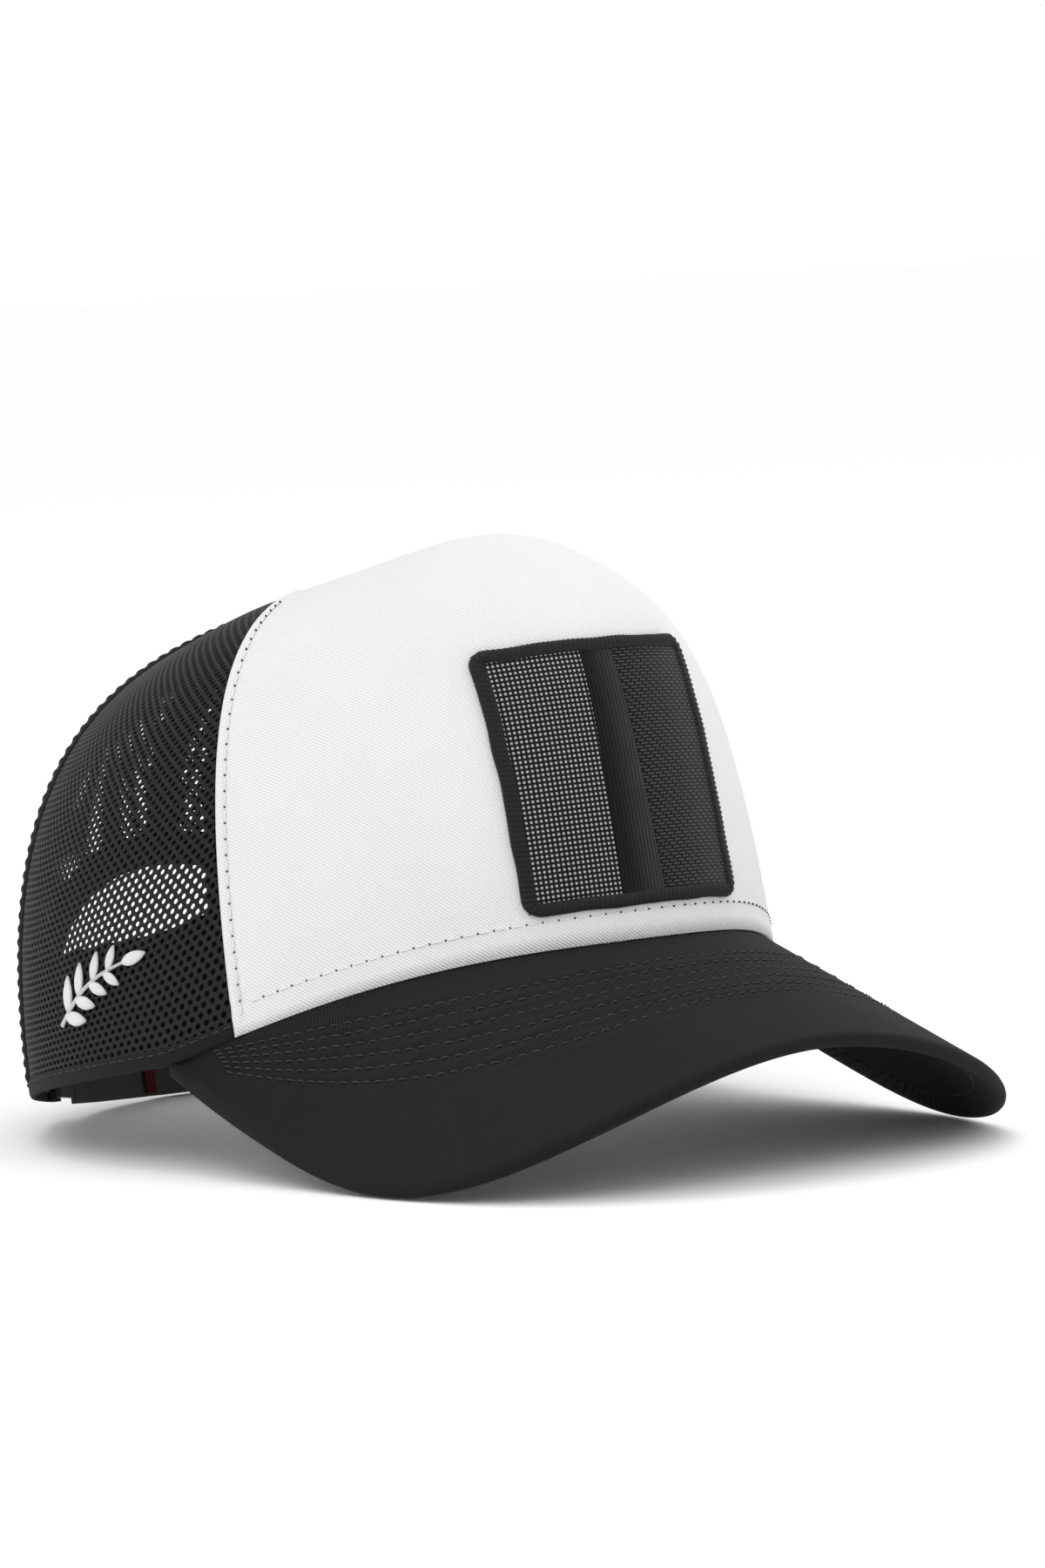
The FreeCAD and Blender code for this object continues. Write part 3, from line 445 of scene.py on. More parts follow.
def join(name: str, items: list[bpy.types.Object]) -> bpy.types.Object:
    """Make one object of several that share a material and a body."""
    for item in bpy.context.selected_objects:
        item.select_set(False)
    for item in items:
        item.select_set(True)
    bpy.context.view_layer.objects.active = items[0]
    bpy.ops.object.join()
    items[0].name = name
    return items[0]


@dataclass(frozen=True)
class Thread:
    """A sewing thread: stitch pitch, stitch length and thickness in millimetres."""
    pitch: float = 3.2
    length: float = 2.5
    width: float = 0.42
    sink: float = 0.12
    offset: float = 0.2
    rings: int = 7
    sides: int = 6

    def sew(self, name: str, path: np.ndarray, normal: np.ndarray) -> bpy.types.Object:
        """Lay stitches along a path: each is a short arched capsule that dips at both ends.

        The centre of a stitch is its start plus its run, raised along the normal by half a sine
        wave, and its thickness swells from the ends to the middle.

        Args:
            name: the piece's name.
            path: (n, 3) worn points that the row of stitches follows.
            normal: (n, 3) outward unit normals of the cloth there.

        Returns:
            All the row's stitches as one object.
        """
        steps = np.linalg.norm(np.diff(path, axis=0), axis=1)
        lengths = np.concatenate([[0], np.cumsum(steps)])
        starts = np.arange(self.offset, lengths[-1] - self.length, self.pitch)

        def at(target: np.ndarray, values: np.ndarray) -> np.ndarray:
            return np.stack([np.interp(target, lengths, values[:, k]) for k in range(3)], -1)

        first, last = at(starts, path), at(starts + self.length, path)
        up = unit(at(starts + self.length / 2, normal))
        run = unit(last - first)
        side = unit(np.cross(up, run))
        share = np.linspace(0, 1, self.rings)
        arch = np.sin(math.pi * share)
        centre = (first[:, None] + (last - first)[:, None] * share[None, :, None]
                  + up[:, None] * ((arch * (self.sink + self.width * 0.45) - self.sink)
                                   )[None, :, None])
        radius = self.width / 2 * (0.35 + 0.65 * arch ** 0.5)
        turn = np.linspace(0, 2 * math.pi, self.sides, endpoint=False)
        ring = (side[:, None] * np.cos(turn)[None, :, None]
                + up[:, None] * np.sin(turn)[None, :, None])
        points = centre[:, :, None] + ring[:, None] * radius[None, :, None, None]
        body = quads(self.rings, self.sides, wrap=True)
        caps = np.array([[0, 1, 2, 3], [0, 3, 4, 5]])
        last_ring = (self.rings - 1) * self.sides
        faces = np.concatenate([body, caps, caps[:, ::-1] + last_ring])
        block = np.arange(len(starts))[:, None, None] * self.rings * self.sides
        uv = np.zeros((len(starts), self.rings, self.sides, 2))
        uv[..., 0] = (starts[:, None] + self.length * share)[..., None]
        uv[..., 1] = turn
        return make_object(name, points.reshape(-1, 3), (faces[None] + block).reshape(-1, 4), uv)


# --------------------------------------------------------------------------- shader maths

class Val:
    """A number socket of a material that takes part in Python arithmetic."""

    def __init__(self, tree: "Finish", socket: bpy.types.NodeSocket) -> None:
        self.tree = tree
        self.socket = socket

    def math(self, operation: str, *others: "Val | float") -> "Val":
        """Result of a Math node on this value and the others."""
        return self.tree.maths(operation, self, *others)

    def __add__(self, other: "Val | float") -> "Val":
        return self.math("ADD", other)

    def __sub__(self, other: "Val | float") -> "Val":
        return self.math("SUBTRACT", other)

    def __mul__(self, other: "Val | float") -> "Val":
        return self.math("MULTIPLY", other)

    def __truediv__(self, other: "Val | float") -> "Val":
        return self.math("DIVIDE", other)

    def __rsub__(self, other: float) -> "Val":
        return self.tree.maths("SUBTRACT", other, self)

    __radd__ = __add__
    __rmul__ = __mul__

    def wave(self, pitch: float) -> "Val":
        """A hump from 0 to 1 and back that repeats at a pitch."""
        return (self * (2 * math.pi / pitch)).math("COSINE") * -0.5 + 0.5

    def step(self, low: float, high: float) -> "Val":
        """Smooth step from 0 at low to 1 at high."""
        share = ((self - low) / (high - low)).math("MAXIMUM", 0.0).math("MINIMUM", 1.0)
        return share * share * (3.0 - 2.0 * share)


class Finish:
    """One material: a Principled shader and the few ways its nodes are made."""

    def __init__(self, name: str, roughness: float, sheen: float = 0.0,
                 specular: float = 0.3) -> None:
        self.material = bpy.data.materials.new(name)
        self.material.use_nodes = True
        self.nodes = self.material.node_tree.nodes
        self.links = self.material.node_tree.links
        self.shader = self.nodes["Principled BSDF"]
        self.shader.inputs["Roughness"].default_value = roughness
        self.shader.inputs["Specular IOR Level"].default_value = specular
        self.shader.inputs["Sheen Weight"].default_value = sheen
        self.shader.inputs["Sheen Roughness"].default_value = 0.6

    def node(self, kind: str, settings: dict | None = None, **values: object) -> bpy.types.Node:
        """Make a node: settings first, then values or links of its sockets by name.

        Args:
            kind: the node's type.
            settings: attributes such as a Math node's operation.
            values: socket values, where an underscore in a name stands for a space.

        Returns:
            The node.
        """
        made = self.nodes.new(kind)
        for key, value in (settings or {}).items():
            setattr(made, key, value)
        for key, value in values.items():
            self.feed(made.inputs[key.replace("_", " ")], value)
        return made

    def feed(self, socket: bpy.types.NodeSocket, value: object) -> None:
        """Link a value to a socket, or set the socket's own number."""
        if isinstance(value, Val):
            self.links.new(value.socket, socket)
        elif isinstance(value, bpy.types.NodeSocket):
            self.links.new(value, socket)
        else:
            socket.default_value = value

    def maths(self, operation: str, *values: "Val | float") -> Val:
        """A Math node on numbers and values."""
        made = self.node("ShaderNodeMath", {"operation": operation})
        for socket, value in zip(made.inputs, values):
            self.feed(socket, value)
        return Val(self, made.outputs[0])

    def plane(self) -> tuple[Val, Val]:
        """The piece's own surface coordinates in millimetres."""
        coordinate = self.node("ShaderNodeTexCoord")
        split = self.node("ShaderNodeSeparateXYZ", Vector=coordinate.outputs["UV"])
        return Val(self, split.outputs["X"]), Val(self, split.outputs["Y"])

    def noise(self, scale: float, detail: float = 3.0) -> Val:
        """Noise from 0 to 1 on object coordinates; scale is features in a metre."""
        coordinate = self.node("ShaderNodeTexCoord")
        made = self.node("ShaderNodeTexNoise", Vector=coordinate.outputs["Object"], Scale=scale,
                         Detail=detail)
        return Val(self, made.outputs["Fac"])

    def blend(self, share: Val, low: tuple[float, ...], high: tuple[float, ...]) -> Val:
        """Colour between two colours."""
        made = self.node("ShaderNodeMix", {"data_type": "RGBA"})
        self.feed(made.inputs[0], share)
        made.inputs[6].default_value = (*low, 1.0)
        made.inputs[7].default_value = (*high, 1.0)
        return Val(self, made.outputs[2])

    def finish(self, colour: Val | tuple[float, ...], height: Val | None = None,
               depth: float = 0.0, roughness: Val | None = None) -> bpy.types.Material:
        """Feed the shader.

        Args:
            colour: a colour value or plain colour.
            height: surface height from 0 to 1.
            depth: the height's real size in millimetres.
            roughness: a varying roughness.

        Returns:
            The material.
        """
        self.feed(self.shader.inputs["Base Color"],
                  colour if isinstance(colour, Val) else (*colour, 1.0))
        if height is not None:
            bump = self.node("ShaderNodeBump", Strength=1.0, Distance=depth * MM, Height=height)
            self.feed(self.shader.inputs["Normal"], bump.outputs["Normal"])
        if roughness is not None:
            self.feed(self.shader.inputs["Roughness"], roughness)
        return self.material


@dataclass(frozen=True)
class Twill:
    """Twill cloth: diagonal ribs that the crossing yarn breaks into short floats."""
    name: str
    light: Tone
    dark: Tone
    rib: float = 0.68
    yarn: float = 0.5
    slope: float = 0.9
    depth: float = 0.12
    roughness: float = 0.85
    sheen: float = 0.25
    specular: float = 0.08

    def make(self) -> bpy.types.Material:
        """Ribs run down to the right on the surface; floats repeat along each rib."""
        cloth = Finish(self.name, self.roughness, self.sheen, self.specular)
        u, v = cloth.plane()
        wander = (cloth.noise(220.0) - 0.5) * 0.35
        across = (u * self.slope + v) / math.hypot(self.slope, 1.0) + wander * self.rib
        along = (u - v * self.slope) / math.hypot(self.slope, 1.0)
        ribs = across.wave(self.rib)
        floats = (along + ribs * 0.2).wave(self.yarn)
        fuzz = cloth.noise(5200.0, 2.0)
        height = ribs * 0.72 + floats * ribs * 0.18 + fuzz * 0.22
        tone = ribs * 0.62 + fuzz * 0.25 + cloth.noise(38.0) * 0.25
        return cloth.finish(cloth.blend(tone.step(0.1, 0.95), self.dark, self.light), height,
                            self.depth)


@dataclass(frozen=True)
class Weave:
    """Plain weave or grosgrain: two sets of yarns that pass over each other."""
    name: str
    light: Tone
    dark: Tone
    warp: float = 0.55
    weft: float = 0.55
    depth: float = 0.1
    roughness: float = 0.85
    sheen: float = 0.05

    def make(self) -> bpy.types.Material:
        """The weft's humps shift by half a pitch on every other warp yarn."""
        cloth = Finish(self.name, self.roughness, self.sheen, 0.08)
        u, v = cloth.plane()
        over = u.wave(self.warp * 2.0)
        first = v.wave(self.weft)
        second = (v + self.weft / 2).wave(self.weft)
        ribs = first * over + second * (1.0 - over)
        fuzz = cloth.noise(4800.0, 2.0)
        height = ribs * 0.8 + fuzz * 0.25
        tone = ribs * 0.7 + fuzz * 0.3
        return cloth.finish(cloth.blend(tone, self.dark, self.light), height, self.depth)


@dataclass(frozen=True)
class Yarn:
    """Twisted thread: fine slanted strands along its length."""
    name: str
    light: Tone
    dark: Tone
    twist: float = 0.5
    roughness: float = 0.55
    sheen: float = 0.03

    def make(self) -> bpy.types.Material:
        """Strands slant because the angle round the thread is added to the run along it."""
        thread = Finish(self.name, self.roughness, self.sheen, 0.15)
        u, v = thread.plane()
        strands = (u + v * (self.twist / (2 * math.pi))).wave(self.twist)
        fuzz = thread.noise(6000.0, 2.0)
        height = strands * 0.8 + fuzz * 0.2
        return thread.finish(thread.blend(height, self.dark, self.light), height, 0.06)


@dataclass(frozen=True)
class Knit:
    """Yarn of the open mesh: fine loops seen as soft mottling with a slight shine."""
    name: str = "mesh_yarn"
    light: Tone = (0.026, 0.0265, 0.028)
    dark: Tone = (0.003, 0.003, 0.0035)

    def make(self) -> bpy.types.Material:
        """Loops every 0.4 mm break the yarn's surface; fibres add finer noise."""
        knit = Finish(self.name, 0.45, 0.0, 0.16)
        u, v = knit.plane()
        loops = (u + v * 0.5).wave(0.42) * 0.5 + (v - u * 0.5).wave(0.36) * 0.5
        fuzz = knit.noise(5200.0, 3.0)
        tone = (loops * 0.55 + fuzz * 0.5).step(0.25, 0.85)
        return knit.finish(knit.blend(tone, self.dark, self.light), loops * 0.6 + fuzz * 0.5, 0.12)


@dataclass(frozen=True)
class Moulded:
    """Moulded plastic or stamped metal with fine surface grain and handling marks."""
    name: str
    colour: Tone
    roughness: float = 0.42
    metallic: float = 0.0

    def make(self) -> bpy.types.Material:
        """Grain is fine noise; broad noise makes it glossier where it is handled."""
        solid = Finish(self.name, self.roughness, 0.0, 0.5)
        solid.shader.inputs["Metallic"].default_value = self.metallic
        grain = solid.noise(3500.0, 2.0)
        broad = solid.noise(60.0)
        lighter = tuple(min(1.0, c * 1.35 + 0.006) for c in self.colour)
        return solid.finish(solid.blend(broad, self.colour, lighter), grain, 0.03,
                            broad * 0.18 + (self.roughness - 0.08))


@dataclass(frozen=True)
class DottedFill:
    """Light patch field: pale raised dots between a dark woven grid."""
    name: str = "patch_light_fill"
    pitch: float = 1.15

    def make(self) -> bpy.types.Material:
        """Each dot is the product of two humps, set against thin dark crossing lines."""
        cloth = Finish(self.name, 0.75, 0.0, 0.1)
        u, v = cloth.plane()
        dots = u.wave(self.pitch) * v.wave(self.pitch)
        fuzz = cloth.noise(5200.0, 2.0)
        tone = (dots + fuzz * 0.22 - 0.11).step(0.2, 0.75)
        return cloth.finish(cloth.blend(tone, (0.008, 0.008, 0.008), (0.40, 0.40, 0.395)),
                            dots * 0.85 + fuzz * 0.15, 0.22)


@dataclass(frozen=True)
class BrickFill:
    """Dark patch field: short level stitches in staggered columns."""
    name: str = "patch_dark_fill"
    light: Tone = (0.060, 0.060, 0.056)
    dark: Tone = (0.001, 0.001, 0.001)
    long: float = 2.6
    high: float = 0.78

    def make(self) -> bpy.types.Material:
        """Rows of stitches; each row's ends shift by a third of a stitch from the last."""
        cloth = Finish(self.name, 0.42, 0.0, 0.12)
        u, v = cloth.plane()
        row = (v / self.high).math("FLOOR")
        shift = row * (self.long / 3.0)
        rows = v.wave(self.high)
        body = (u + shift).wave(self.long).step(0.02, 0.3)
        fuzz = cloth.noise(5200.0, 2.0)
        height = rows * body * 0.85 + fuzz * 0.15
        return cloth.finish(cloth.blend(height.step(0.25, 1.0), self.dark, self.light), height, 0.2)


@dataclass(frozen=True)
class SatinFill:
    """Satin stitch: long parallel threads, darker to one side of the stripe."""
    name: str
    light: Tone
    dark: Tone
    pitch: float = 0.38
    level: bool = True

    def make(self) -> bpy.types.Material:
        """Threads lie across the stripe, or along it when they are not level."""
        cloth = Finish(self.name, 0.4, 0.02, 0.12)
        u, v = cloth.plane()
        threads = (v if self.level else u).wave(self.pitch)
        fuzz = cloth.noise(5200.0, 2.0)
        height = threads * 0.85 + fuzz * 0.15
        tone = height * 0.7 + cloth.noise(120.0) * 0.3
        if not self.level:
            tone = tone * u.step(-3.5, 3.5)
        return cloth.finish(cloth.blend(tone, self.dark, self.light), height, 0.12)


class Palette:
    """Every finish of the cap, made once."""

    def __init__(self) -> None:
        black_light, black_dark = (0.016, 0.0163, 0.018), (0.0035, 0.0035, 0.0045)
        self.white_twill = Twill("white_twill", (0.83, 0.83, 0.828), (0.66, 0.66, 0.667)).make()
        self.backing = Weave("backing_weave", (0.85, 0.85, 0.83), (0.6, 0.6, 0.58), 0.8, 0.8).make()
        self.mesh = Knit().make()
        self.visor = Twill("visor_twill", black_light, black_dark, rib=0.58, yarn=0.42,
                           depth=0.09, sheen=0.03).make()
        self.tape = Weave("tape_grosgrain", black_light, black_dark, 0.5, 0.9, 0.14).make()
        self.band = Twill("band_twill", (0.016, 0.016, 0.017), (0.004, 0.004, 0.0045),
                          rib=0.8, sheen=0.05).make()
        self.white_thread = Yarn("white_thread", (0.90, 0.90, 0.89), (0.72, 0.72, 0.72)).make()
        self.black_thread = Yarn("black_thread", (0.060, 0.061, 0.064), (0.010, 0.010, 0.011)).make()
        self.border = Yarn("border_thread", (0.022, 0.022, 0.024), (0.0025, 0.0025, 0.003),
                           twist=0.34).make()
        self.emblem = SatinFill("emblem_satin", (0.90, 0.90, 0.90), (0.70, 0.70, 0.71),
                                pitch=0.34).make()
        self.patch_ground = Weave("patch_ground", (0.012, 0.012, 0.013), (0.003, 0.003, 0.003)).make()
        self.patch_light = DottedFill().make()
        self.patch_dark = BrickFill().make()
        self.patch_stripe = SatinFill("stripe_satin", (0.036, 0.036, 0.034), (0.001, 0.001, 0.001),
                                      pitch=0.95, level=False).make()
        self.strap = Moulded("strap_plastic", (0.008, 0.008, 0.009)).make()
        self.rivet = Moulded("rivet_metal", (0.42, 0.42, 0.43), 0.35, 1.0).make()
        self.board = Moulded("board_plastic", (0.012, 0.012, 0.013), 0.6).make()
        self.red = Weave("red_woven", (0.13, 0.010, 0.016), (0.05, 0.003, 0.005), 0.3, 0.3).make()
        self.label = Weave("label_satin", (0.82, 0.82, 0.81), (0.62, 0.62, 0.62), 0.25, 0.25,
                           0.04, 0.5).make()


def dress(piece: bpy.types.Object, material: bpy.types.Material, slot: str,
          *nodes: str, body: str = "root") -> bpy.types.Object:
    """Give a piece its finish and its place in the frame.

    Args:
        piece: the new piece.
        material: its finish.
        slot: the record's material slot; not used.
        nodes: CAD nodes that the piece stands for.
        body: the body it moves with.

    Returns:
        The piece.
    """
    piece.data.materials.clear()
    piece.data.materials.append(material)
    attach(piece, body)
    if nodes:
        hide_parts(*nodes)
    LOG.info("%s: %d faces", piece.name, len(piece.data.polygons))
    return piece


# --------------------------------------------------------------------------- sub-assemblies

SEAM_STITCH = Thread(pitch=3.7, length=3.0, width=0.42, sink=0.15, offset=0.35)
NEEDLE_HOLE = Thread(pitch=3.7, length=0.5, width=0.5, sink=0.3, offset=3.65)
FINE_STITCH = Thread(pitch=3.2, length=2.5, width=0.42, sink=0.14)


def strip(name: str, angle: np.ndarray, rise: np.ndarray, lift: np.ndarray | float,
          depth: float) -> bpy.types.Object:
    """Cloth strip that follows the crown between a lift and that lift less a depth."""
    return shell(name, FORM.layer(angle, rise, lift),
                 FORM.layer(angle, rise, np.asarray(lift) - depth))


def crown_stitches(name: str, thread: Thread, angle: np.ndarray, rise: np.ndarray,
                   lift: float) -> bpy.types.Object:
    """Row of stitches on the crown; a negative lift puts it on the inside."""
    facing = math.copysign(1.0, lift)
    return thread.sew(name, FORM.layer(angle, rise, lift), FORM.outward(angle, rise) * facing)


@dataclass
class FrontPanel:
    """White one-piece front with its turned edges, stitching and foam-soft backing."""
    palette: Palette
    thickness: float = 0.8
    seam_inset: float = 2.8
    base_inset: float = 6.6
    reach: float = 4.6
    foot: float = 0.5
    edge_share: float = 0.07
    edge_columns: int = 22
    columns: int = 131
    rows: int = 141
    roll_height: float = 0.45
    roll_width: float = 1.3
    seam_dip: float = 0.26
    base_dip: float = 0.2
    pucker_height: float = 0.10
    backing_depth: float = 1.0

    def spread(self, share: np.ndarray, rise: np.ndarray, inset: float = 0.0) -> np.ndarray:
        """Angle at a share of the half width, an inset in millimetres short of the seam."""
        edge = FORM.front_seam(rise)
        return share * (edge - inset / np.maximum(FORM.metre(edge, rise), 1.0))

    def grid(self, share: np.ndarray, rows: int, low: float, reach: float) -> Spots:
        """Grid over the panel.

        Args:
            share: places across it, from -1 at one seam to 1 at the other.
            rows: points up each column.
            low: height of the lowest row above the hem.
            reach: distance of the highest row from the pole.

        Returns:
            The grid's angles and rises, which settle in a few rounds because each needs the other.
        """
        share = share[:, None] * np.ones((1, rows))
        along = np.linspace(0, 1, rows)[None]
        rise = 0.6 * along + 0.02 + 0 * share
        for _ in range(6):
            angle = self.spread(share, rise)
            start, stop = FORM.rise_at_height(angle, low), FORM.rise_at_reach(angle, reach)
            rise = start + (stop - start) * along
        return self.spread(share, rise), rise

    def build(self) -> None:
        """Make the cloth, its backing and the white seams."""
        fine = 1 - np.linspace(self.edge_share, 0, self.edge_columns)
        wide = 1 - self.edge_share - 0.005
        share = np.concatenate([-fine[::-1], np.linspace(-wide, wide, self.columns), fine])
        angle, rise = self.grid(share, self.rows, self.foot, self.reach)
        gap = (FORM.front_seam(rise) - np.abs(angle)) * FORM.metre(angle, rise)
        up = np.cumsum(np.pad(np.linalg.norm(np.diff(FORM.crown(angle, rise), axis=1), axis=-1),
                              ((0, 0), (1, 0))), axis=1)
        pucker = 0.5 + 0.5 * np.cos(2 * math.pi * up / SEAM_STITCH.pitch)
        lift = self.roll_height * np.exp(-((gap - self.roll_width) / self.roll_width) ** 2) + 0.12
        lift -= self.seam_dip * np.exp(-((gap - self.seam_inset) / 0.5) ** 2)
        lift += self.pucker_height * pucker * np.exp(-((gap - 1.6) / 1.4) ** 2)
        lift *= smooth(0.0, 0.8, gap + 0.25)
        lift -= self.base_dip * np.exp(-((up - self.base_inset) / 0.6) ** 2)
        rng = np.random.default_rng(11)
        soft = sum(rng.uniform(0.02, 0.06) * np.sin(rng.uniform(-0.12, 0.12) * up
                   + rng.uniform(-7, 7) * angle + rng.uniform(0, 6)) for _ in range(7))
        lift = lift + soft
        cloth = shell("front_panel_cloth", FORM.layer(angle, rise, lift),
                      FORM.layer(angle, rise, lift * 0.4 - self.thickness))
        dress(cloth, self.palette.white_twill, "white_twill", "front_panel")

        angle, rise = self.grid(np.linspace(-0.985, 0.985, 61), 61, 1.5, 6.0)
        backing = strip("front_backing_cloth", angle, rise, -self.backing_depth, self.backing_depth)
        dress(backing, self.palette.backing, "backing_cloth", "front_backing")
        self.stitches()

    def stitches(self) -> None:
        """White stitches and dark needle holes along both sides and above the visor."""
        rows, holes = [], []
        for side in Side:
            rise = np.linspace(0.012, 0.80, 160)
            angle = side.value * self.spread(np.ones_like(rise), rise, self.seam_inset)
            rows.append(crown_stitches("seam", SEAM_STITCH, angle, rise, 0.10))
            holes.append(crown_stitches("hole", NEEDLE_HOLE, angle, rise, 0.12))
        angle = np.linspace(-0.96, 0.96, 241) * FORM.front_seam(np.array(0.03))
        rise = FORM.rise_at_height(angle, self.base_inset * 0.97 + 0.5)
        rows.append(crown_stitches("base", SEAM_STITCH, angle, rise, 0.06))
        holes.append(crown_stitches("base_hole", NEEDLE_HOLE, angle, rise, 0.10))
        dress(join("front_seam_stitches", rows), self.palette.white_thread, "white_twill")
        dress(join("front_needle_holes", holes), self.palette.black_thread, "black_twill")


@dataclass
class MeshPanel:
    """One panel of open mesh: every cell is a rounded hole in a staggered net of thick yarn."""
    palette: Palette
    name: str
    node: str
    low_angle: float
    high_angle: float
    rear: bool
    side: Side
    pitch: float = 2.5
    row: float = 1.6
    hole_wide: float = 0.70
    hole_high: float = 0.55
    hem_gap: float = 1.0
    reach: float = 6.0
    arch_radius: float = 54.5
    arch_leg: float = 7.0
    cells_across: int = 30
    cells_up: int = 110
    highest: float = 165.0
    outer_lifts: tuple[float, float] = (0.0, -0.22)
    inner_lifts: tuple[float, float] = (-0.72, -0.5)

    def edges(self, rise: np.ndarray) -> tuple[np.ndarray, np.ndarray]:
        """Angles of the panel's two seams at a rise."""
        low = np.zeros_like(rise) + self.low_angle
        return (low if self.rear else FORM.front_seam(rise)), np.zeros_like(rise) + self.high_angle

    def on_crown(self, across: np.ndarray, along: np.ndarray) -> Spots:
        """Carry flat millimetres onto the crown by running round it from the middle meridian.

        Args:
            across: millimetres round the crown from the middle of the panel.
            along: millimetres up the panel's middle from the hem.

        Returns:
            The angles and the rises.
        """
        middle = (self.low_angle + self.high_angle) / 2
        table = np.linspace(0, 0.97, 400)
        spine = FORM.crown(np.full_like(table, middle), table)
        length = np.concatenate([[0], np.cumsum(np.linalg.norm(np.diff(spine, axis=0), axis=1))])
        rise = np.interp(along, length, table)
        angle, steps = np.zeros_like(rise) + middle, 12
        for _ in range(steps):
            half = angle + across / steps / 2 / np.maximum(FORM.metre(angle, rise), 4.0)
            angle = angle + across / steps / np.maximum(FORM.metre(half, rise), 4.0)
        return angle, rise

    def keeps(self, angle: np.ndarray, rise: np.ndarray) -> np.ndarray:
        """Whether a cell at this place is part of the panel."""
        low, high = self.edges(rise)
        metre = FORM.metre(angle, rise)
        point = FORM.crown(angle, rise)
        kept = ((angle - low) * metre > (0.2 if self.rear else -0.6)) & ((high - angle) * metre > 0.2)
        kept &= point[..., 2] > FORM.hem_height(angle) + self.hem_gap
        kept &= np.hypot(point[..., 0], point[..., 1] - FORM.pole_y) > self.reach
        if self.rear:
            above = np.maximum(point[..., 2] - self.arch_leg, 0)
            kept &= np.hypot(point[..., 0], above) > self.arch_radius
        return kept

    def build(self) -> None:
        """Lay out the cells, keep those in the panel and join their shared edges."""
        columns = np.arange(-self.cells_across, self.cells_across + 1)
        i, j = np.meshgrid(columns, np.arange(self.cells_up), indexing="ij")
        centre_i, centre_j = (2 * i + j % 2).ravel(), (3 * j).ravel()
        half, third = self.pitch / 2, self.row / 3
        angle, rise = self.on_crown(centre_i * half, centre_j * third)
        kept = self.keeps(angle, rise) & (centre_j * third < self.highest)
        centre_i, centre_j = centre_i[kept], centre_j[kept]
        around = np.array([(0, 2), (1, 1), (1, 0), (1, -1), (0, -2), (-1, -1), (-1, 0), (-1, 1)])
        turn = np.radians([90, 35, 0, -35, -90, -145, 180, 145])
        key = np.stack([centre_i[:, None] + around[:, 0], centre_j[:, None] + around[:, 1]], -1)
        corners, index = np.unique(key.reshape(-1, 2), axis=0, return_inverse=True)
        index = index.reshape(-1, 8)
        ring_a = centre_i[:, None] * half + np.cos(turn) * self.hole_wide
        ring_b = centre_j[:, None] * third + np.sin(turn) * self.hole_high
        flat_a = np.concatenate([corners[:, 0] * half, ring_a.ravel()])
        flat_b = np.concatenate([corners[:, 1] * third, ring_b.ravel()])
        angle, rise = self.on_crown(flat_a, flat_b)
        shared = len(corners)
        lifts = [np.where(np.arange(len(angle)) < shared, high, low)
                 for high, low in (self.outer_lifts, self.inner_lifts)]
        if self.side is Side.RIGHT:
            angle = -angle
        points = np.concatenate([FORM.layer(angle, rise, lift) for lift in lifts])
        ring = shared + np.arange(len(key) * 8).reshape(-1, 8)
        inner, inner_ring = index + len(angle), ring + len(angle)
        faces = np.concatenate([
            np.stack([a, np.roll(a, -1, axis=1), np.roll(b, -1, axis=1), b], -1).reshape(-1, 4)
            for a, b in ((index, ring), (ring, inner_ring), (inner_ring, inner))])
        if self.side is Side.RIGHT:
            faces = faces[:, ::-1]
        uv = np.stack([np.tile(flat_a, 2), np.tile(flat_b, 2)], -1)
        net = make_object(self.name, points, faces, uv)
        dress(net, self.palette.mesh, "black_mesh", self.node)


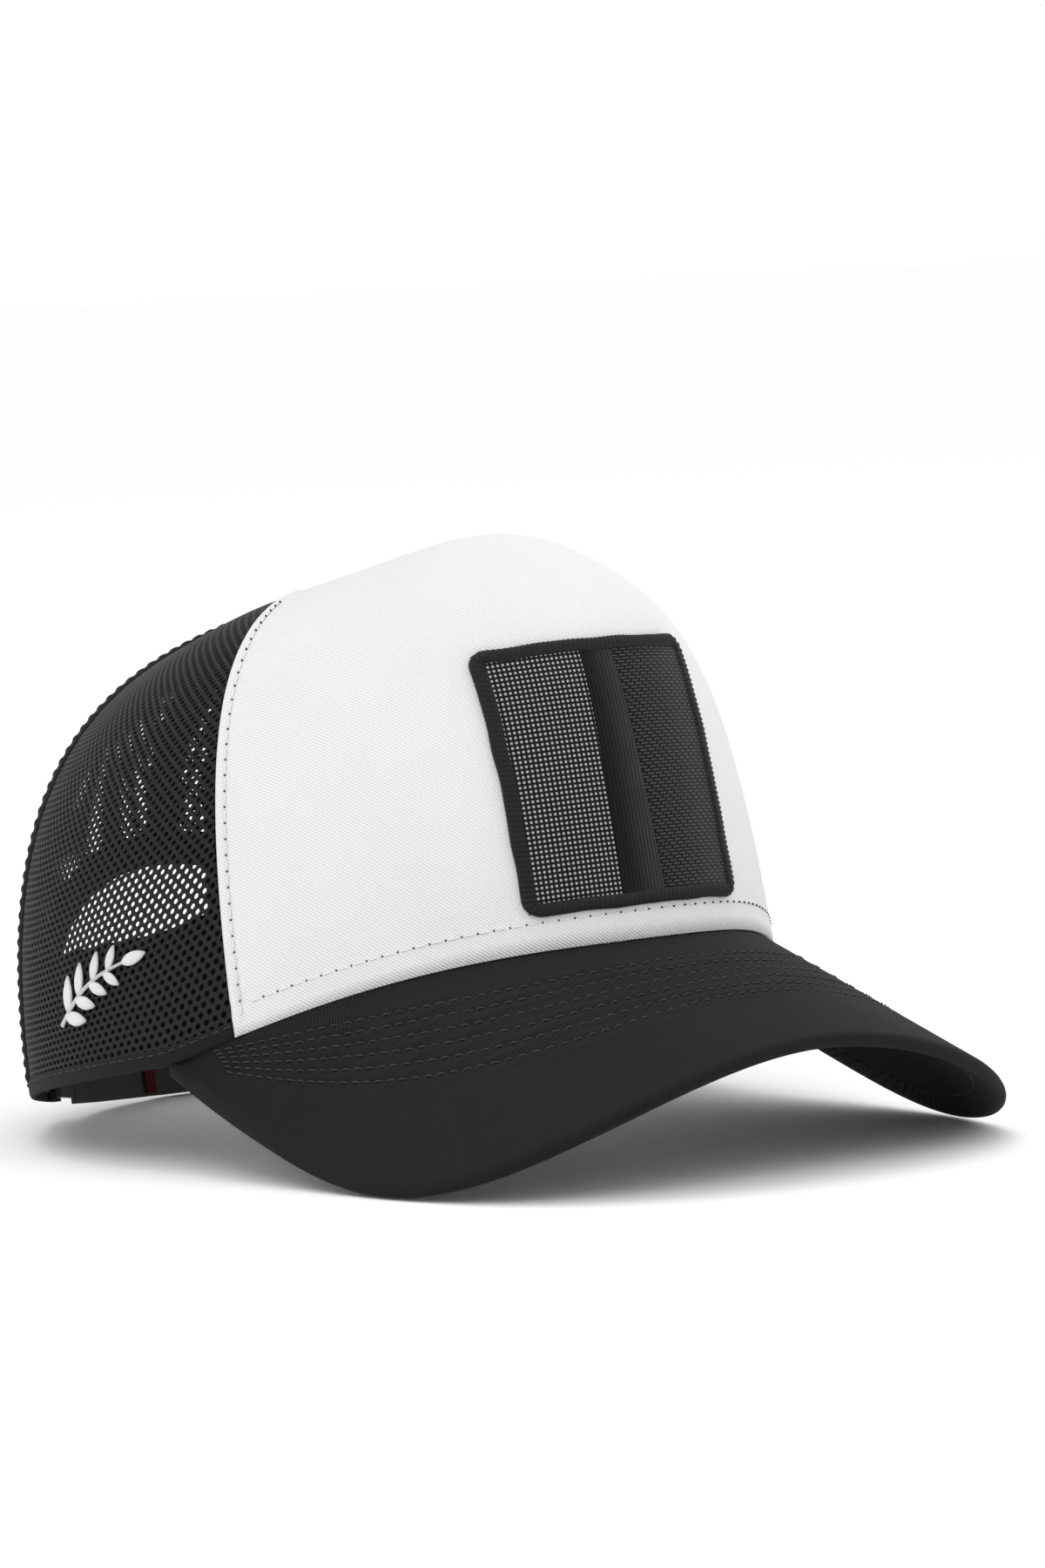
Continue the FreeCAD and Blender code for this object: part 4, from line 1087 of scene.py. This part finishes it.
@dataclass
class CrownSeams:
    """Raised seams between the mesh panels, the turned-up mesh hem and the tapes inside."""
    palette: Palette
    width: float = 5.6
    height: float = 0.55
    hem_low: float = 0.15
    hem_high: float = 4.2
    hem_end: float = 138.0
    rear_top: float = 65.5
    tape_width: float = 10.0
    tape_lift: float = -2.15
    tape_depth: float = 0.5
    tape_reach: float = 13.0
    ridge_reach: float = 6.5
    columns: int = 9

    def band(self, centre: Curve, low: float, reach: float, width: float,
             rows: int) -> tuple[np.ndarray, np.ndarray, np.ndarray]:
        """Grid of a band that runs up a seam.

        Args:
            centre: the seam's angle at a rise.
            low: height of the band's foot above the hem.
            reach: distance of its top from the pole.
            width: its width.
            rows: points up the band.

        Returns:
            Angles, rises and distances from the seam.
        """
        start = FORM.rise_at_height(np.array([centre(np.array(0.05))]), low)[0]
        stop = FORM.rise_at_reach(np.array([centre(np.array(0.8))]), reach)[0]
        rise = np.linspace(start, stop, rows)[:, None] * np.ones((1, self.columns))
        across = np.linspace(-width / 2, width / 2, self.columns)[None] * np.ones((rows, 1))
        middle = centre(rise)
        return middle + across / np.maximum(FORM.metre(middle, rise), 6.0), rise, across

    def ridge(self, name: str, centre: Curve, low: float) -> None:
        """A padded seam on the outside with a row of stitches on each side of its middle."""
        angle, rise, across = self.band(centre, low, self.ridge_reach, self.width, 161)
        lift = self.height * (1 - (2 * across / self.width) ** 4) + 0.08 - 0.3 * np.exp(
            -(across / 0.45) ** 2)
        body = shell(name, FORM.layer(angle, rise, lift), FORM.layer(angle, rise, -0.8))
        dress(body, self.palette.tape, "black_mesh")
        rows = [crown_stitches("row", FINE_STITCH, angle[:, k], rise[:, k], self.height + 0.03)
                for k in (2, 6)]
        dress(join(name + "_stitches", rows), self.palette.black_thread, "black_mesh")

    def tape(self, name: str, centre: Curve, low: float) -> None:
        """A woven tape that covers a seam on the inside, with its two rows of stitches."""
        angle, rise, _ = self.band(centre, low, self.tape_reach, self.tape_width, 81)
        dress(strip(name + "_cloth", angle, rise, self.tape_lift, self.tape_depth),
              self.palette.tape, "tape_cloth", name)
        rows = [crown_stitches("row", FINE_STITCH, angle[:, k], rise[:, k],
                               self.tape_lift - self.tape_depth) for k in (1, 7)]
        dress(join(name + "_stitches", rows), self.palette.black_thread, "tape_cloth")

    def hem(self, side: Side) -> None:
        """The turned-up lower edge of the mesh, from the front panel to the rear opening."""
        start = FORM.front_seam(np.array(0.02))
        angle = np.linspace(start, math.radians(self.hem_end), 161)[:, None]
        angle = angle * np.ones((1, self.columns))
        share = np.linspace(0, 1, self.columns)[None] * np.ones((len(angle), 1))
        rise = FORM.rise_at_height(angle, self.hem_low + (self.hem_high - self.hem_low) * share)
        lift = 0.34 * (1 - (2 * share - 1) ** 6) + 0.04
        name = "mesh_hem_" + side.name.lower()
        body = shell(name, FORM.layer(side.value * angle, rise, lift),
                     FORM.layer(side.value * angle, rise, -0.85))
        dress(body, self.palette.tape, "black_mesh")
        row = crown_stitches(name + "_stitches", FINE_STITCH, side.value * angle[:, 6],
                             rise[:, 6], 0.36)
        dress(row, self.palette.black_thread, "black_mesh")

    def build(self) -> None:
        """Make every seam, hem and tape."""
        rear = lambda rise: np.zeros_like(rise) + math.pi
        self.ridge("rear_seam", rear, self.rear_top)
        self.tape("seam_tape_rear", rear, self.rear_top)
        for side in Side:
            word = side.name.lower()
            beside = lambda rise, s=side.value: np.zeros_like(rise) + s * FORM.side_seam
            front = lambda rise, s=side.value: s * FORM.front_seam(rise)
            self.ridge("side_seam_" + word, beside, 3.6)
            self.tape("seam_tape_side_" + word, beside, 2.0)
            self.tape("seam_tape_front_" + word, front, 2.0)
            self.hem(side)


@dataclass
class RearOpening:
    """Binding of the arched opening: a tape folded round the mesh edge and sewn twice."""
    palette: Palette
    radius: float = 50.0
    leg: float = 7.0
    foot: float = 0.9
    outer_lift: float = 0.62
    inner_lift: float = -1.3
    rows: tuple[float, ...] = (1.8, 7.0)

    def arch(self, offset: np.ndarray, count: int) -> tuple[np.ndarray, np.ndarray]:
        """X and Z of lines at offsets outside the opening's edge, from foot to foot."""
        leg = np.linspace(self.foot, self.leg, 9)[:-1]
        still = np.zeros_like(leg)
        turn = np.linspace(0, math.pi, count)
        x = np.concatenate([still + 1, np.cos(turn), still - 1])
        z = np.concatenate([leg, np.full(count, self.leg), leg[::-1]])
        rise = np.concatenate([still, np.sin(turn), still])
        reach = self.radius + offset
        return x[:, None] * reach, z[:, None] + rise[:, None] * reach

    def place(self, offset: np.ndarray, count: int = 181) -> Spots:
        """Angles and rises of lines along the arch."""
        x, z = self.arch(offset, count)
        return FORM.locate(x, z, 0, math.pi - x / 95.0)

    def build(self) -> None:
        """Make the folded tape and its stitches."""
        profile = np.array([(8.2, 0.25), (8.0, self.outer_lift), (6.0, self.outer_lift + 0.08),
                            (3.5, self.outer_lift + 0.1), (1.2, self.outer_lift + 0.05),
                            (0.45, 0.45), (0.1, 0.0), (0.05, -0.4), (0.2, -0.9), (0.7, -1.2),
                            (2.0, self.inner_lift), (5.0, self.inner_lift),
                            (8.0, self.inner_lift), (8.2, -1.0), (7.0, -0.85), (7.0, 0.1)])
        angle, rise = self.place(profile[None, :, 0])
        dress(loft("opening_tape", FORM.layer(angle, rise, profile[None, :, 1])),
              self.palette.tape, "black_twill", "opening_binding")
        stitches = []
        for offset in self.rows:
            angle, rise = self.place(np.array([[offset]]))
            for lift in (self.outer_lift + 0.08, self.inner_lift):
                stitches.append(crown_stitches("row", FINE_STITCH, angle[:, 0], rise[:, 0], lift))
        dress(join("opening_tape_stitches", stitches), self.palette.black_thread, "black_twill")


@dataclass
class Visor:
    """Curved visor: twill wrapped round a stiff board, an under cover and concentric stitching."""
    palette: Palette
    rows: tuple[float, ...] = (0.20, 0.275, 0.35, 0.425, 0.50, 0.575)
    cover: float = 0.5
    hem_run: float = 3.2
    groove: float = 0.22
    board_end: float = 0.92
    board_inset: float = 2.4
    board_top: float = -0.78
    board_bottom: float = -2.62
    lining_outer: float = -3.42
    lining_inner: float = -2.85
    columns: int = 281
    skin_rows: int = 121
    lining_columns: int = 181
    lining_rows: int = 81
    edge_stitch: float = 0.93

    def frame(self, count: int) -> tuple[np.ndarray, np.ndarray, np.ndarray, np.ndarray]:
        """Rear points, edge points, inward normals of the edge and the wrap's inset."""
        across = np.linspace(-1, 1, count)
        rear, edge = FORM.visor_rear(across), FORM.visor_edge(across)
        run = unit(np.gradient(edge, axis=0))
        inward = np.stack([-run[:, 1], run[:, 0]], -1)
        inset = np.minimum(FORM.half_visor, 0.3 * np.linalg.norm(edge - rear, axis=1))
        return rear, edge, inward, inset

    def skin(self, sunk: float) -> np.ndarray:
        """Grid over the top, round the edge and a little way back underneath.

        Args:
            sunk: how far the surface lies inside the outermost one.

        Returns:
            Points, with columns along the edge and rows from the hem round to the underside.
        """
        rear, edge, inward, inset = self.frame(self.columns)
        last = edge + inward * inset[:, None]
        share = np.linspace(0, 1, self.skin_rows)[None, :, None]
        plan = rear[:, None] + (last - rear)[:, None] * share
        chord = np.linalg.norm(last - rear, axis=1)[:, None]
        lift = np.full(plan.shape[:2], -sunk)
        for row in self.rows:
            lift -= self.groove * np.exp(-((share[..., 0] - row) * chord / 0.55) ** 2)
        lift += 0.07 * np.sin(9.0 * share[..., 0] * chord / 4.6) * smooth(
            0.12, 0.2, share[..., 0]) * (1 - smooth(0.6, 0.68, share[..., 0]))
        turn = np.linspace(0, math.pi, 10)[1:]
        radius = FORM.half_visor - sunk
        reach = inset[:, None] - np.sin(turn)[None] * (inset[:, None] - sunk)
        around = edge[:, None] + inward[:, None] * reach[..., None]
        around_lift = np.broadcast_to(-FORM.half_visor + radius * np.cos(turn), reach.shape)
        back = inset[:, None] + np.linspace(0, 1, 5)[1:][None] * np.minimum(
            self.hem_run, 0.25 * chord)
        under = edge[:, None] + inward[:, None] * back[..., None]
        under_lift = np.full(back.shape, -2 * FORM.half_visor + sunk)
        return FORM.on_visor(np.concatenate([plan, around, under], 1),
                             np.concatenate([lift, around_lift, under_lift], 1))

    def lining(self, lift: float) -> np.ndarray:
        """Grid of the under cover, which stops short of the wrapped edge."""
        rear, edge, inward, inset = self.frame(self.lining_columns)
        chord = np.linalg.norm(edge - rear, axis=1)
        last = edge + inward * np.minimum(inset + self.hem_run * 0.7, 0.45 * chord)[:, None]
        share = np.linspace(0, 1, self.lining_rows)[None, :, None]
        plan = rear[:, None] + (last - rear)[:, None] * share
        lifts = np.full(plan.shape[:2], lift)
        for row in self.rows:
            lifts += self.groove * 0.8 * np.exp(-((share[..., 0] - row) * chord[:, None] / 0.6) ** 2)
        return FORM.on_visor(plan, lifts)

    def stitch_rows(self, name: str, lift: float, facing: float, shares: tuple[float, ...],
                    end: float) -> bpy.types.Object:
        """Rows of stitches that follow the visor's edge.

        Args:
            name: the piece's name.
            lift: height of the rows over the visor surface.
            facing: 1 for stitches on top, -1 for stitches underneath.
            shares: each row's place, from 0 at the hem to 1 at the edge.
            end: where the rows stop along the edge, as a share of its half length.

        Returns:
            All rows as one piece.
        """
        count = 601
        rear, edge, inward, inset = self.frame(count)
        last = edge + inward * inset[:, None]
        kept = np.abs(np.linspace(-1, 1, count)) < end
        rows = []
        for k, share in enumerate(shares):
            plan = (rear + (last - rear) * share)[kept]
            thread = Thread(pitch=3.2, length=2.4, width=0.45, sink=0.16, offset=0.3 + 1.1 * k)
            rows.append(thread.sew("row", FORM.on_visor(plan, lift),
                                   FORM.visor_normal(plan[:, 0], plan[:, 1]) * facing))
        return join(name, rows)

    def board(self) -> bpy.types.Object:
        """Stiff sheet between the covers, a little smaller than they are all round."""
        rear, edge, inward, _ = self.frame(self.columns)
        kept = np.abs(np.linspace(-1, 1, self.columns)) < self.board_end
        rear, last = rear[kept, None], (edge + inward * self.board_inset)[kept, None]
        plan = rear + (last - rear) * np.linspace(0, 1, 41)[None, :, None]
        return shell("visor_board_sheet", FORM.on_visor(plan, self.board_top),
                     FORM.on_visor(plan, self.board_bottom))

    def build(self) -> None:
        """Make the covers, the board and the stitches."""
        dress(self.board(), self.palette.board, "board", "visor_board")
        outer, inner = self.skin(0.0), self.skin(self.cover)
        dress(shell("visor_cover", outer, inner), self.palette.visor, "black_twill",
              "visor_top_cover")
        outer, inner = self.lining(self.lining_outer), self.lining(self.lining_inner)
        dress(shell("visor_lining", outer, inner), self.palette.visor, "black_twill",
              "visor_under_cover")
        top = self.stitch_rows("visor_top_stitches", -0.12, 1.0, self.rows, 0.93)
        dress(top, self.palette.black_thread, "black_twill")
        under = self.stitch_rows("visor_under_stitches", -3.32, -1.0,
                                 self.rows + (self.edge_stitch,), 0.9)
        dress(under, self.palette.black_thread, "black_twill")


@dataclass
class Patch:
    """Front patch: a merrowed border round a dotted field, a satin stripe and a brick-stitch field."""
    palette: Palette
    width: float = 58.6
    height: float = 61.6
    middle: float = 53.2
    corner: float = 4.0
    border: float = 3.2
    rib: float = 1.15
    ground_lift: float = 0.9
    field_lift: float = 1.32
    rib_height: float = 0.16
    rope_height: float = 1.15
    step: float = 0.24
    sides: int = 14
    stripe_low: tuple[float, float] = (-7.9, 3.4)
    stripe_high: tuple[float, float] = (-5.9, 2.3)

    def sheet(self, name: str, left: tuple[float, float], right: tuple[float, float], inset: float,
              lifts: tuple[float, float], size: tuple[int, int]) -> bpy.types.Object:
        """Cloth between two edges of the patch.

        Args:
            name: the piece's name.
            left: X of its left edge at the foot and at the top.
            right: the same for its right edge.
            inset: gap to the patch's outline at the foot and at the top.
            lifts: height of its back and its face over the front panel.
            size: grid points across and up.

        Returns:
            The piece, with its face domed a little.
        """
        share = np.linspace(0, 1, size[0])[:, None]
        up = np.linspace(0, 1, size[1])[None]
        x = (left[0] + (left[1] - left[0]) * up) * (1 - share) + (
            right[0] + (right[1] - right[0]) * up) * share
        z = self.middle + (up - 0.5) * (self.height - 2 * inset) + 0 * x
        angle, rise = FORM.locate(x, z, 0, x / 95.0)
        dome = 0.10 * (1 - (2 * share - 1) ** 10)
        return shell(name, FORM.layer(angle, rise, lifts[1] + dome), FORM.layer(angle, rise, lifts[0]))

    def outline(self, inset: float, step: float) -> np.ndarray:
        """Rounded rectangle in X and Z at an inset, in equal steps."""
        half_x, half_z = self.width / 2 - inset, self.height / 2 - inset
        bend = self.corner - inset
        turn = np.linspace(0, math.pi / 2, 13)
        arc = np.stack([np.cos(turn), np.sin(turn)], -1) * bend
        centres = np.array([[1, 1], [-1, 1], [-1, -1], [1, -1]]) * (half_x - bend, half_z - bend)
        spun = [arc @ np.array([[math.cos(q), math.sin(q)], [-math.sin(q), math.cos(q)]])
                for q in np.arange(4) * math.pi / 2]
        loop = np.concatenate([centre + part for centre, part in zip(centres, spun)])
        loop = np.concatenate([loop, loop[:1]])
        length = np.concatenate([[0], np.cumsum(np.linalg.norm(np.diff(loop, axis=0), axis=1))])
        at = np.linspace(0, length[-1], int(length[-1] / step))[:-1]
        return np.stack([np.interp(at, length, loop[:, k]) for k in range(2)], -1)

    def merrow(self) -> bpy.types.Object:
        """Overlocked border: a domed rope of slanted ribs, a little uneven in width."""
        loop = self.outline(self.border / 2, self.step)
        along = np.arange(len(loop)) * self.step
        run = unit(np.roll(loop, -1, axis=0) - np.roll(loop, 1, axis=0))
        out = np.stack([run[:, 1], -run[:, 0]], -1)
        sway = 0.16 * np.sin(along / 2.9) + 0.12 * np.sin(along / 5.3 + 1) + 0.08 * np.sin(along / 1.7)
        turn = np.linspace(0, 2 * math.pi, self.sides, endpoint=False)
        slant = 1.2 * np.cos(turn)[None]
        rib = 1 + self.rib_height * np.cos(2 * math.pi * along[:, None] / self.rib + slant)
        reach = np.cos(turn)[None] * self.border / 2 * (0.94 + 0.06 * rib)
        plan = loop[:, None] + out[:, None] * (reach + sway[:, None] * 0.6)[..., None]
        angle, rise = FORM.locate(plan[..., 0], self.middle + plan[..., 1], 0, plan[..., 0] / 95.0)
        dome = np.maximum(np.sin(turn), 0) ** 0.7 * self.rope_height * rib
        lift = np.where(np.sin(turn) > 0, dome, 0.35 * np.sin(turn)) + 0.85
        return loft("patch_merrow", FORM.layer(angle, rise, lift), closed=True)

    def build(self) -> None:
        """Make the ground, the three embroidered fields and the border."""
        edge = self.width / 2 - 1.0
        dress(self.sheet("patch_ground", (-edge, -edge), (edge, edge), 1.0,
                         (0.15, self.ground_lift - 0.12), (61, 61)), self.palette.patch_ground,
              "patch_cloth", "patch_base")
        inset = self.border - 0.7
        edge = self.width / 2 - inset
        low, high = self.stripe_low, self.stripe_high
        fields = (("light", (-edge, -edge), (low[0], high[0]), 41, "patch_light_field"),
                  ("stripe", (low[0], high[0]), (low[1], high[1]), 21, "patch_stripe"),
                  ("dark", (low[1], high[1]), (edge, edge), 41, "patch_dark_field"))
        for word, left, right, columns, node in fields:
            face = self.field_lift + (0.04 if word == "stripe" else 0.0)
            cloth = self.sheet("patch_%s_stitching" % word, left, right, inset,
                               (self.ground_lift, face), (columns, 61))
            dress(cloth, getattr(self.palette, "patch_" + word), "patch_%s_thread" % word, node)
        dress(self.merrow(), self.palette.border, "border_thread", "patch_border")


@dataclass
class Sprig:
    """Embroidered sprig on the wearer's right: a stem and pairs of satin leaves."""
    palette: Palette
    middle_y: float = -3.0
    middle_z: float = 23.0
    length: float = 29.0
    tilt: float = math.radians(24.0)
    leaf_length: float = 9.0
    leaf_width: float = 3.4
    pairs: int = 4

    def place(self, flat: np.ndarray, lift: np.ndarray | float) -> np.ndarray:
        """Carry flat points, along the hem and up, onto the mesh with a lift."""
        angle, rise = FORM.locate(self.middle_y - flat[..., 0], self.middle_z + flat[..., 1], 1,
                                  math.radians(-88.0))
        return FORM.layer(angle, rise, lift)

    def leaf(self, base: np.ndarray, heading: float, size: float) -> bpy.types.Object:
        """A pointed leaf, domed over a padded middle with a dip along its vein."""
        share = np.linspace(0, 1, 19)[:, None]
        turn = np.linspace(0, 2 * math.pi, 12, endpoint=False)[None]
        half = self.leaf_width * size / 2 * np.sin(math.pi * share ** 0.85) ** 0.8 + 0.12
        along = np.array([math.cos(heading), math.sin(heading)])
        across = np.array([-along[1], along[0]])
        flat = base + along * (share * self.leaf_length * size)[..., None] + across * (
            half * np.cos(turn))[..., None]
        dome = np.maximum(np.sin(turn), -0.15) * (0.3 + half / self.leaf_width * 1.5)
        dip = 0.35 * np.exp(-(np.cos(turn) / 0.18) ** 2) * (np.sin(turn) > 0) * np.sin(math.pi * share)
        return loft("leaf", self.place(flat, 0.3 + dome - dip))

    def build(self) -> None:
        """Make the stem, the paired leaves and the leaf at its tip."""
        share = np.linspace(0, 1, 41)
        reach = (share - 0.5) * self.length
        bow = 2.2 * np.sin(math.pi * share)
        c, s = math.cos(self.tilt), math.sin(self.tilt)
        stem = np.stack([reach * c - bow * s, reach * s + bow * c - 1.0], -1)
        run = unit(np.gradient(stem, axis=0))
        side = np.stack([-run[:, 1], run[:, 0]], -1)
        turn = np.linspace(0, 2 * math.pi, 10, endpoint=False)
        width = 0.55 * (1.15 - 0.5 * share)
        flat = stem[:, None] + side[:, None] * (width[:, None] * np.cos(turn))[..., None]
        items = [loft("stem", self.place(flat, 0.35 + 0.5 * np.maximum(np.sin(turn), -0.2)[None]))]
        for k in range(self.pairs):
            spot = int(4 + k * 8.5)
            heading = math.atan2(run[spot, 1], run[spot, 0])
            for sign in (-1, 1):
                items.append(self.leaf(stem[spot + (2 if sign > 0 else 0)],
                                       heading + sign * 0.85, 0.95 - 0.09 * k))
        items.append(self.leaf(stem[-3], math.atan2(run[-1, 1], run[-1, 0]), 0.85))
        dress(join("side_sprig", items), self.palette.emblem, "emblem_thread", "side_emblem")


@dataclass
class Sweatband:
    """Twill sweatband inside the hem with its stitching and the care label."""
    palette: Palette
    lift: float = -2.9
    thickness: float = 1.2
    low: float = 1.5
    high: float = 31.0
    end: float = math.radians(127.0)
    rows: tuple[float, ...] = (4.0, 27.5)
    label_angle: float = math.radians(108.0)
    label_half: float = math.radians(7.1)
    label_foot: float = 3.0
    label_height: float = 26.0
    label_lifts: tuple[float, float] = (-4.62, -4.30)

    def build(self) -> None:
        """Make the band, two rows of stitches and the label."""
        angle = np.linspace(-self.end, self.end, 321)[:, None] * np.ones((1, 33))
        share = np.linspace(0, 1, 33)[None]
        rise = FORM.rise_at_height(angle, self.low + (self.high - self.low) * share)
        round_edge = 0.35 * (np.abs(2 * share - 1) ** 14)
        sway = 0.10 * np.sin(angle * 38) * np.sin(math.pi * share) + 0.06 * np.sin(angle * 83 + share)
        inner = FORM.layer(angle, rise, self.lift - self.thickness + round_edge + sway)
        outer = FORM.layer(angle, rise, self.lift - round_edge)
        dress(shell("sweatband_cloth", inner, outer), self.palette.band, "band_cloth", "sweatband")
        rows = []
        for height in self.rows:
            line = np.linspace(-self.end * 0.99, self.end * 0.99, 361)
            rows.append(crown_stitches("row", FINE_STITCH, line, FORM.rise_at_height(line, height),
                                       self.lift - self.thickness - 0.05))
        dress(join("sweatband_stitches", rows), self.palette.black_thread, "band_cloth")
        across, share = np.meshgrid(np.linspace(-1, 1, 31), np.linspace(0, 1, 31), indexing="ij")
        angle = across * self.label_half + self.label_angle
        rise = FORM.rise_at_height(angle, self.label_foot + self.label_height * share)
        faces = [FORM.layer(angle, rise, lift - 0.25 * share ** 3) for lift in self.label_lifts]
        label = shell("care_label_cloth", *faces)
        dress(label, self.palette.label, "label_cloth", "care_label")


@dataclass
class CrownButton:
    """Cloth-covered button over the pole, and the rivet under it."""
    palette: Palette
    radius: float = 7.0
    height: float = 2.8
    lift: float = 0.2
    probe: float = 8.0

    def build(self) -> None:
        """Make the domed cover with its tucked rim and eight soft folds."""
        ahead, behind = (FORM.crown(angle, FORM.rise_at_reach(angle, self.probe))
                         for angle in (np.array(0.0), np.array(math.pi)))
        tilt = math.atan2(behind[2] - ahead[2], behind[1] - ahead[1])
        middle = np.array([0.0, FORM.pole_y, (ahead[2] + behind[2]) / 2])
        turn = np.linspace(0, 2 * math.pi, 64, endpoint=False)[None]
        share = np.concatenate([np.linspace(0, 1, 22), [0.985, 0.93, 0.0]])[:, None]
        sphere = (self.radius ** 2 + self.height ** 2) / (2 * self.height)
        height = np.sqrt(np.maximum(sphere ** 2 - (self.radius * share) ** 2, 0)) - sphere + self.height
        height[-3:] = [[-0.05], [0.02], [0.02]]
        fold = 0.07 * np.cos(turn * 8) * smooth(0.5, 0.95, share) * (share < 0.99)
        x, y = self.radius * share * np.cos(turn), self.radius * share * np.sin(turn)
        z = height + fold + self.lift
        c, s = math.cos(tilt), math.sin(tilt)
        points = np.stack([x, y * c - z * s, y * s + z * c], -1) + middle
        cover = make_object("button_cover", points, quads(*points.shape[:2], wrap=True),
                            np.stack([x, y], -1))
        dress(cover, self.palette.visor, "black_twill", "top_button")
        finish_node("button_rivet", self.palette.rivet)


@dataclass
class SnapClosure:
    """The two snap straps at the back, their fixed ends, and the woven size tab."""
    palette: Palette
    centre_y: float = 28.5
    radius: float = 66.8
    turn: float = 11.7
    width: float = 3.4
    low: float = 0.9
    high: float = 17.2
    insets: tuple[float, float] = (0.48, 0.05)

    def build(self) -> None:
        """Give the CAD straps their plastic and make the tab as folded woven cloth."""
        for node in ("hole_strap", "peg_strap", "hole_strap_tab", "peg_strap_tab"):
            finish_node(node, self.palette.strap)
        turn = np.radians(self.turn + np.linspace(-0.5, 0.5, 13) * self.width / self.radius * 57.3)
        height = np.linspace(self.low, self.high, 31)
        angle, z = np.meshgrid(-turn, height, indexing="ij")
        reaches = [self.radius - inset for inset in self.insets]
        faces = [np.stack([reach * np.sin(angle), self.centre_y + reach * np.cos(angle), z], -1)
                 for reach in reaches]
        dress(shell("size_tab_cloth", *faces), self.palette.red, "red_tab", "size_tab",
              body="peg_strap_body")


def finish_node(node: str, material: bpy.types.Material) -> None:
    """Give a CAD part that stays in view a finish through its object's material slots."""
    item = frame["nodes"][node]
    for place in item.material_slots:
        place.link = "OBJECT"
        place.material = material
    LOG.info("%s: finished", node)


# --------------------------------------------------------------------------- studio

@dataclass
class Studio:
    """White floor, soft lights and the camera."""
    floor_colour: Tone = (0.985, 0.985, 0.985)
    world_strength: float = 1.0
    azimuth: float = math.radians(-35.19)
    elevation: float = math.radians(-4.28)
    roll: float = math.radians(-8.36)
    distance: float = 1632.0
    aim_right: float = 0.01608
    aim_down: float = 0.0083
    lens: float = 159.0
    target: tuple[float, float, float] = (0.0, -20.0, 75.0)

    def ground(self) -> None:
        """Wide pale floor; it and the world are both near white, so no horizon shows."""
        bpy.ops.mesh.primitive_plane_add(size=60.0)
        floor = bpy.context.object
        floor.name = "floor"
        paper = Finish("studio_paper", 0.9, 0.0, 0.1)
        floor.data.materials.append(paper.finish(self.floor_colour))

    def lamp(self, name: str, place: tuple[float, float, float], size: float, power: float) -> None:
        """A square soft light that points at the cap."""
        light = bpy.data.lights.new(name, "AREA")
        light.size, light.energy = size, power
        item = bpy.data.objects.new(name, light)
        item.location = place
        item.rotation_euler = (Vector((0, -0.02, 0.06)) - Vector(place)).to_track_quat(
            "-Z", "Y").to_euler()
        bpy.context.scene.collection.objects.link(item)

    def camera(self) -> None:
        """Camera of the fitted view, worked out for the worn cap and carried to the standing one."""
        c, s = math.cos(self.elevation), math.sin(self.elevation)
        back = np.array([math.sin(self.azimuth) * c, -math.cos(self.azimuth) * c, s])
        right = unit(np.cross(-back, [0.0, 0.0, 1.0]))
        up = np.cross(right, -back)
        c, s = math.cos(self.roll), math.sin(self.roll)
        right, up = right * c + up * s, up * c - right * s
        ahead = unit(-back + right * self.aim_right - up * self.aim_down)
        right = unit(np.cross(ahead, up))
        up = np.cross(right, ahead)
        place = REST.place(np.array(self.target) + back * self.distance)
        axes = [REST.turn(v) for v in (right, up, -ahead)]
        data = bpy.data.cameras.new("camera")
        data.lens, data.sensor_width, data.clip_end = self.lens, 36.0, 50.0
        item = bpy.data.objects.new("camera", data)
        item.matrix_world = Matrix([[*(axis[k] for axis in axes), place[k]] for k in range(3)]
                                   + [[0, 0, 0, 1]])
        bpy.context.scene.collection.objects.link(item)
        bpy.context.scene.camera = item

    def build(self) -> None:
        """Make the floor, the lights, the world and the camera."""
        self.ground()
        self.lamp("key", (-1.3, -1.3, 1.9), 1.4, 9.0)
        self.lamp("fill", (1.6, -1.5, 1.1), 1.8, 2.0)
        self.lamp("top", (0.1, 0.3, 2.2), 1.2, 8.0)
        world = bpy.data.worlds.new("studio")
        world.use_nodes = True
        sky = world.node_tree.nodes["Background"]
        sky.inputs["Color"].default_value = (1.0, 1.0, 1.0, 1.0)
        sky.inputs["Strength"].default_value = self.world_strength
        bpy.context.scene.world = world
        bpy.context.scene.view_settings.view_transform = "Standard"
        self.camera()


def main() -> None:
    """Build every sub-assembly in order."""
    logging.basicConfig(level=logging.INFO, format="%(name)s %(message)s")
    palette = Palette()
    Studio().build()
    FrontPanel(palette).build()
    seam = FORM.side_seam
    for side in Side:
        word = side.name.lower()
        MeshPanel(palette, "side_net_" + word, "mesh_side_" + word, math.radians(60.0), seam,
                  False, side).build()
        MeshPanel(palette, "rear_net_" + word, "mesh_rear_" + word, seam, math.pi, True,
                  side).build()
    CrownSeams(palette).build()
    RearOpening(palette).build()
    Visor(palette).build()
    Patch(palette).build()
    Sprig(palette).build()
    Sweatband(palette).build()
    CrownButton(palette).build()
    SnapClosure(palette).build()


if __name__ == "__main__":
    main()
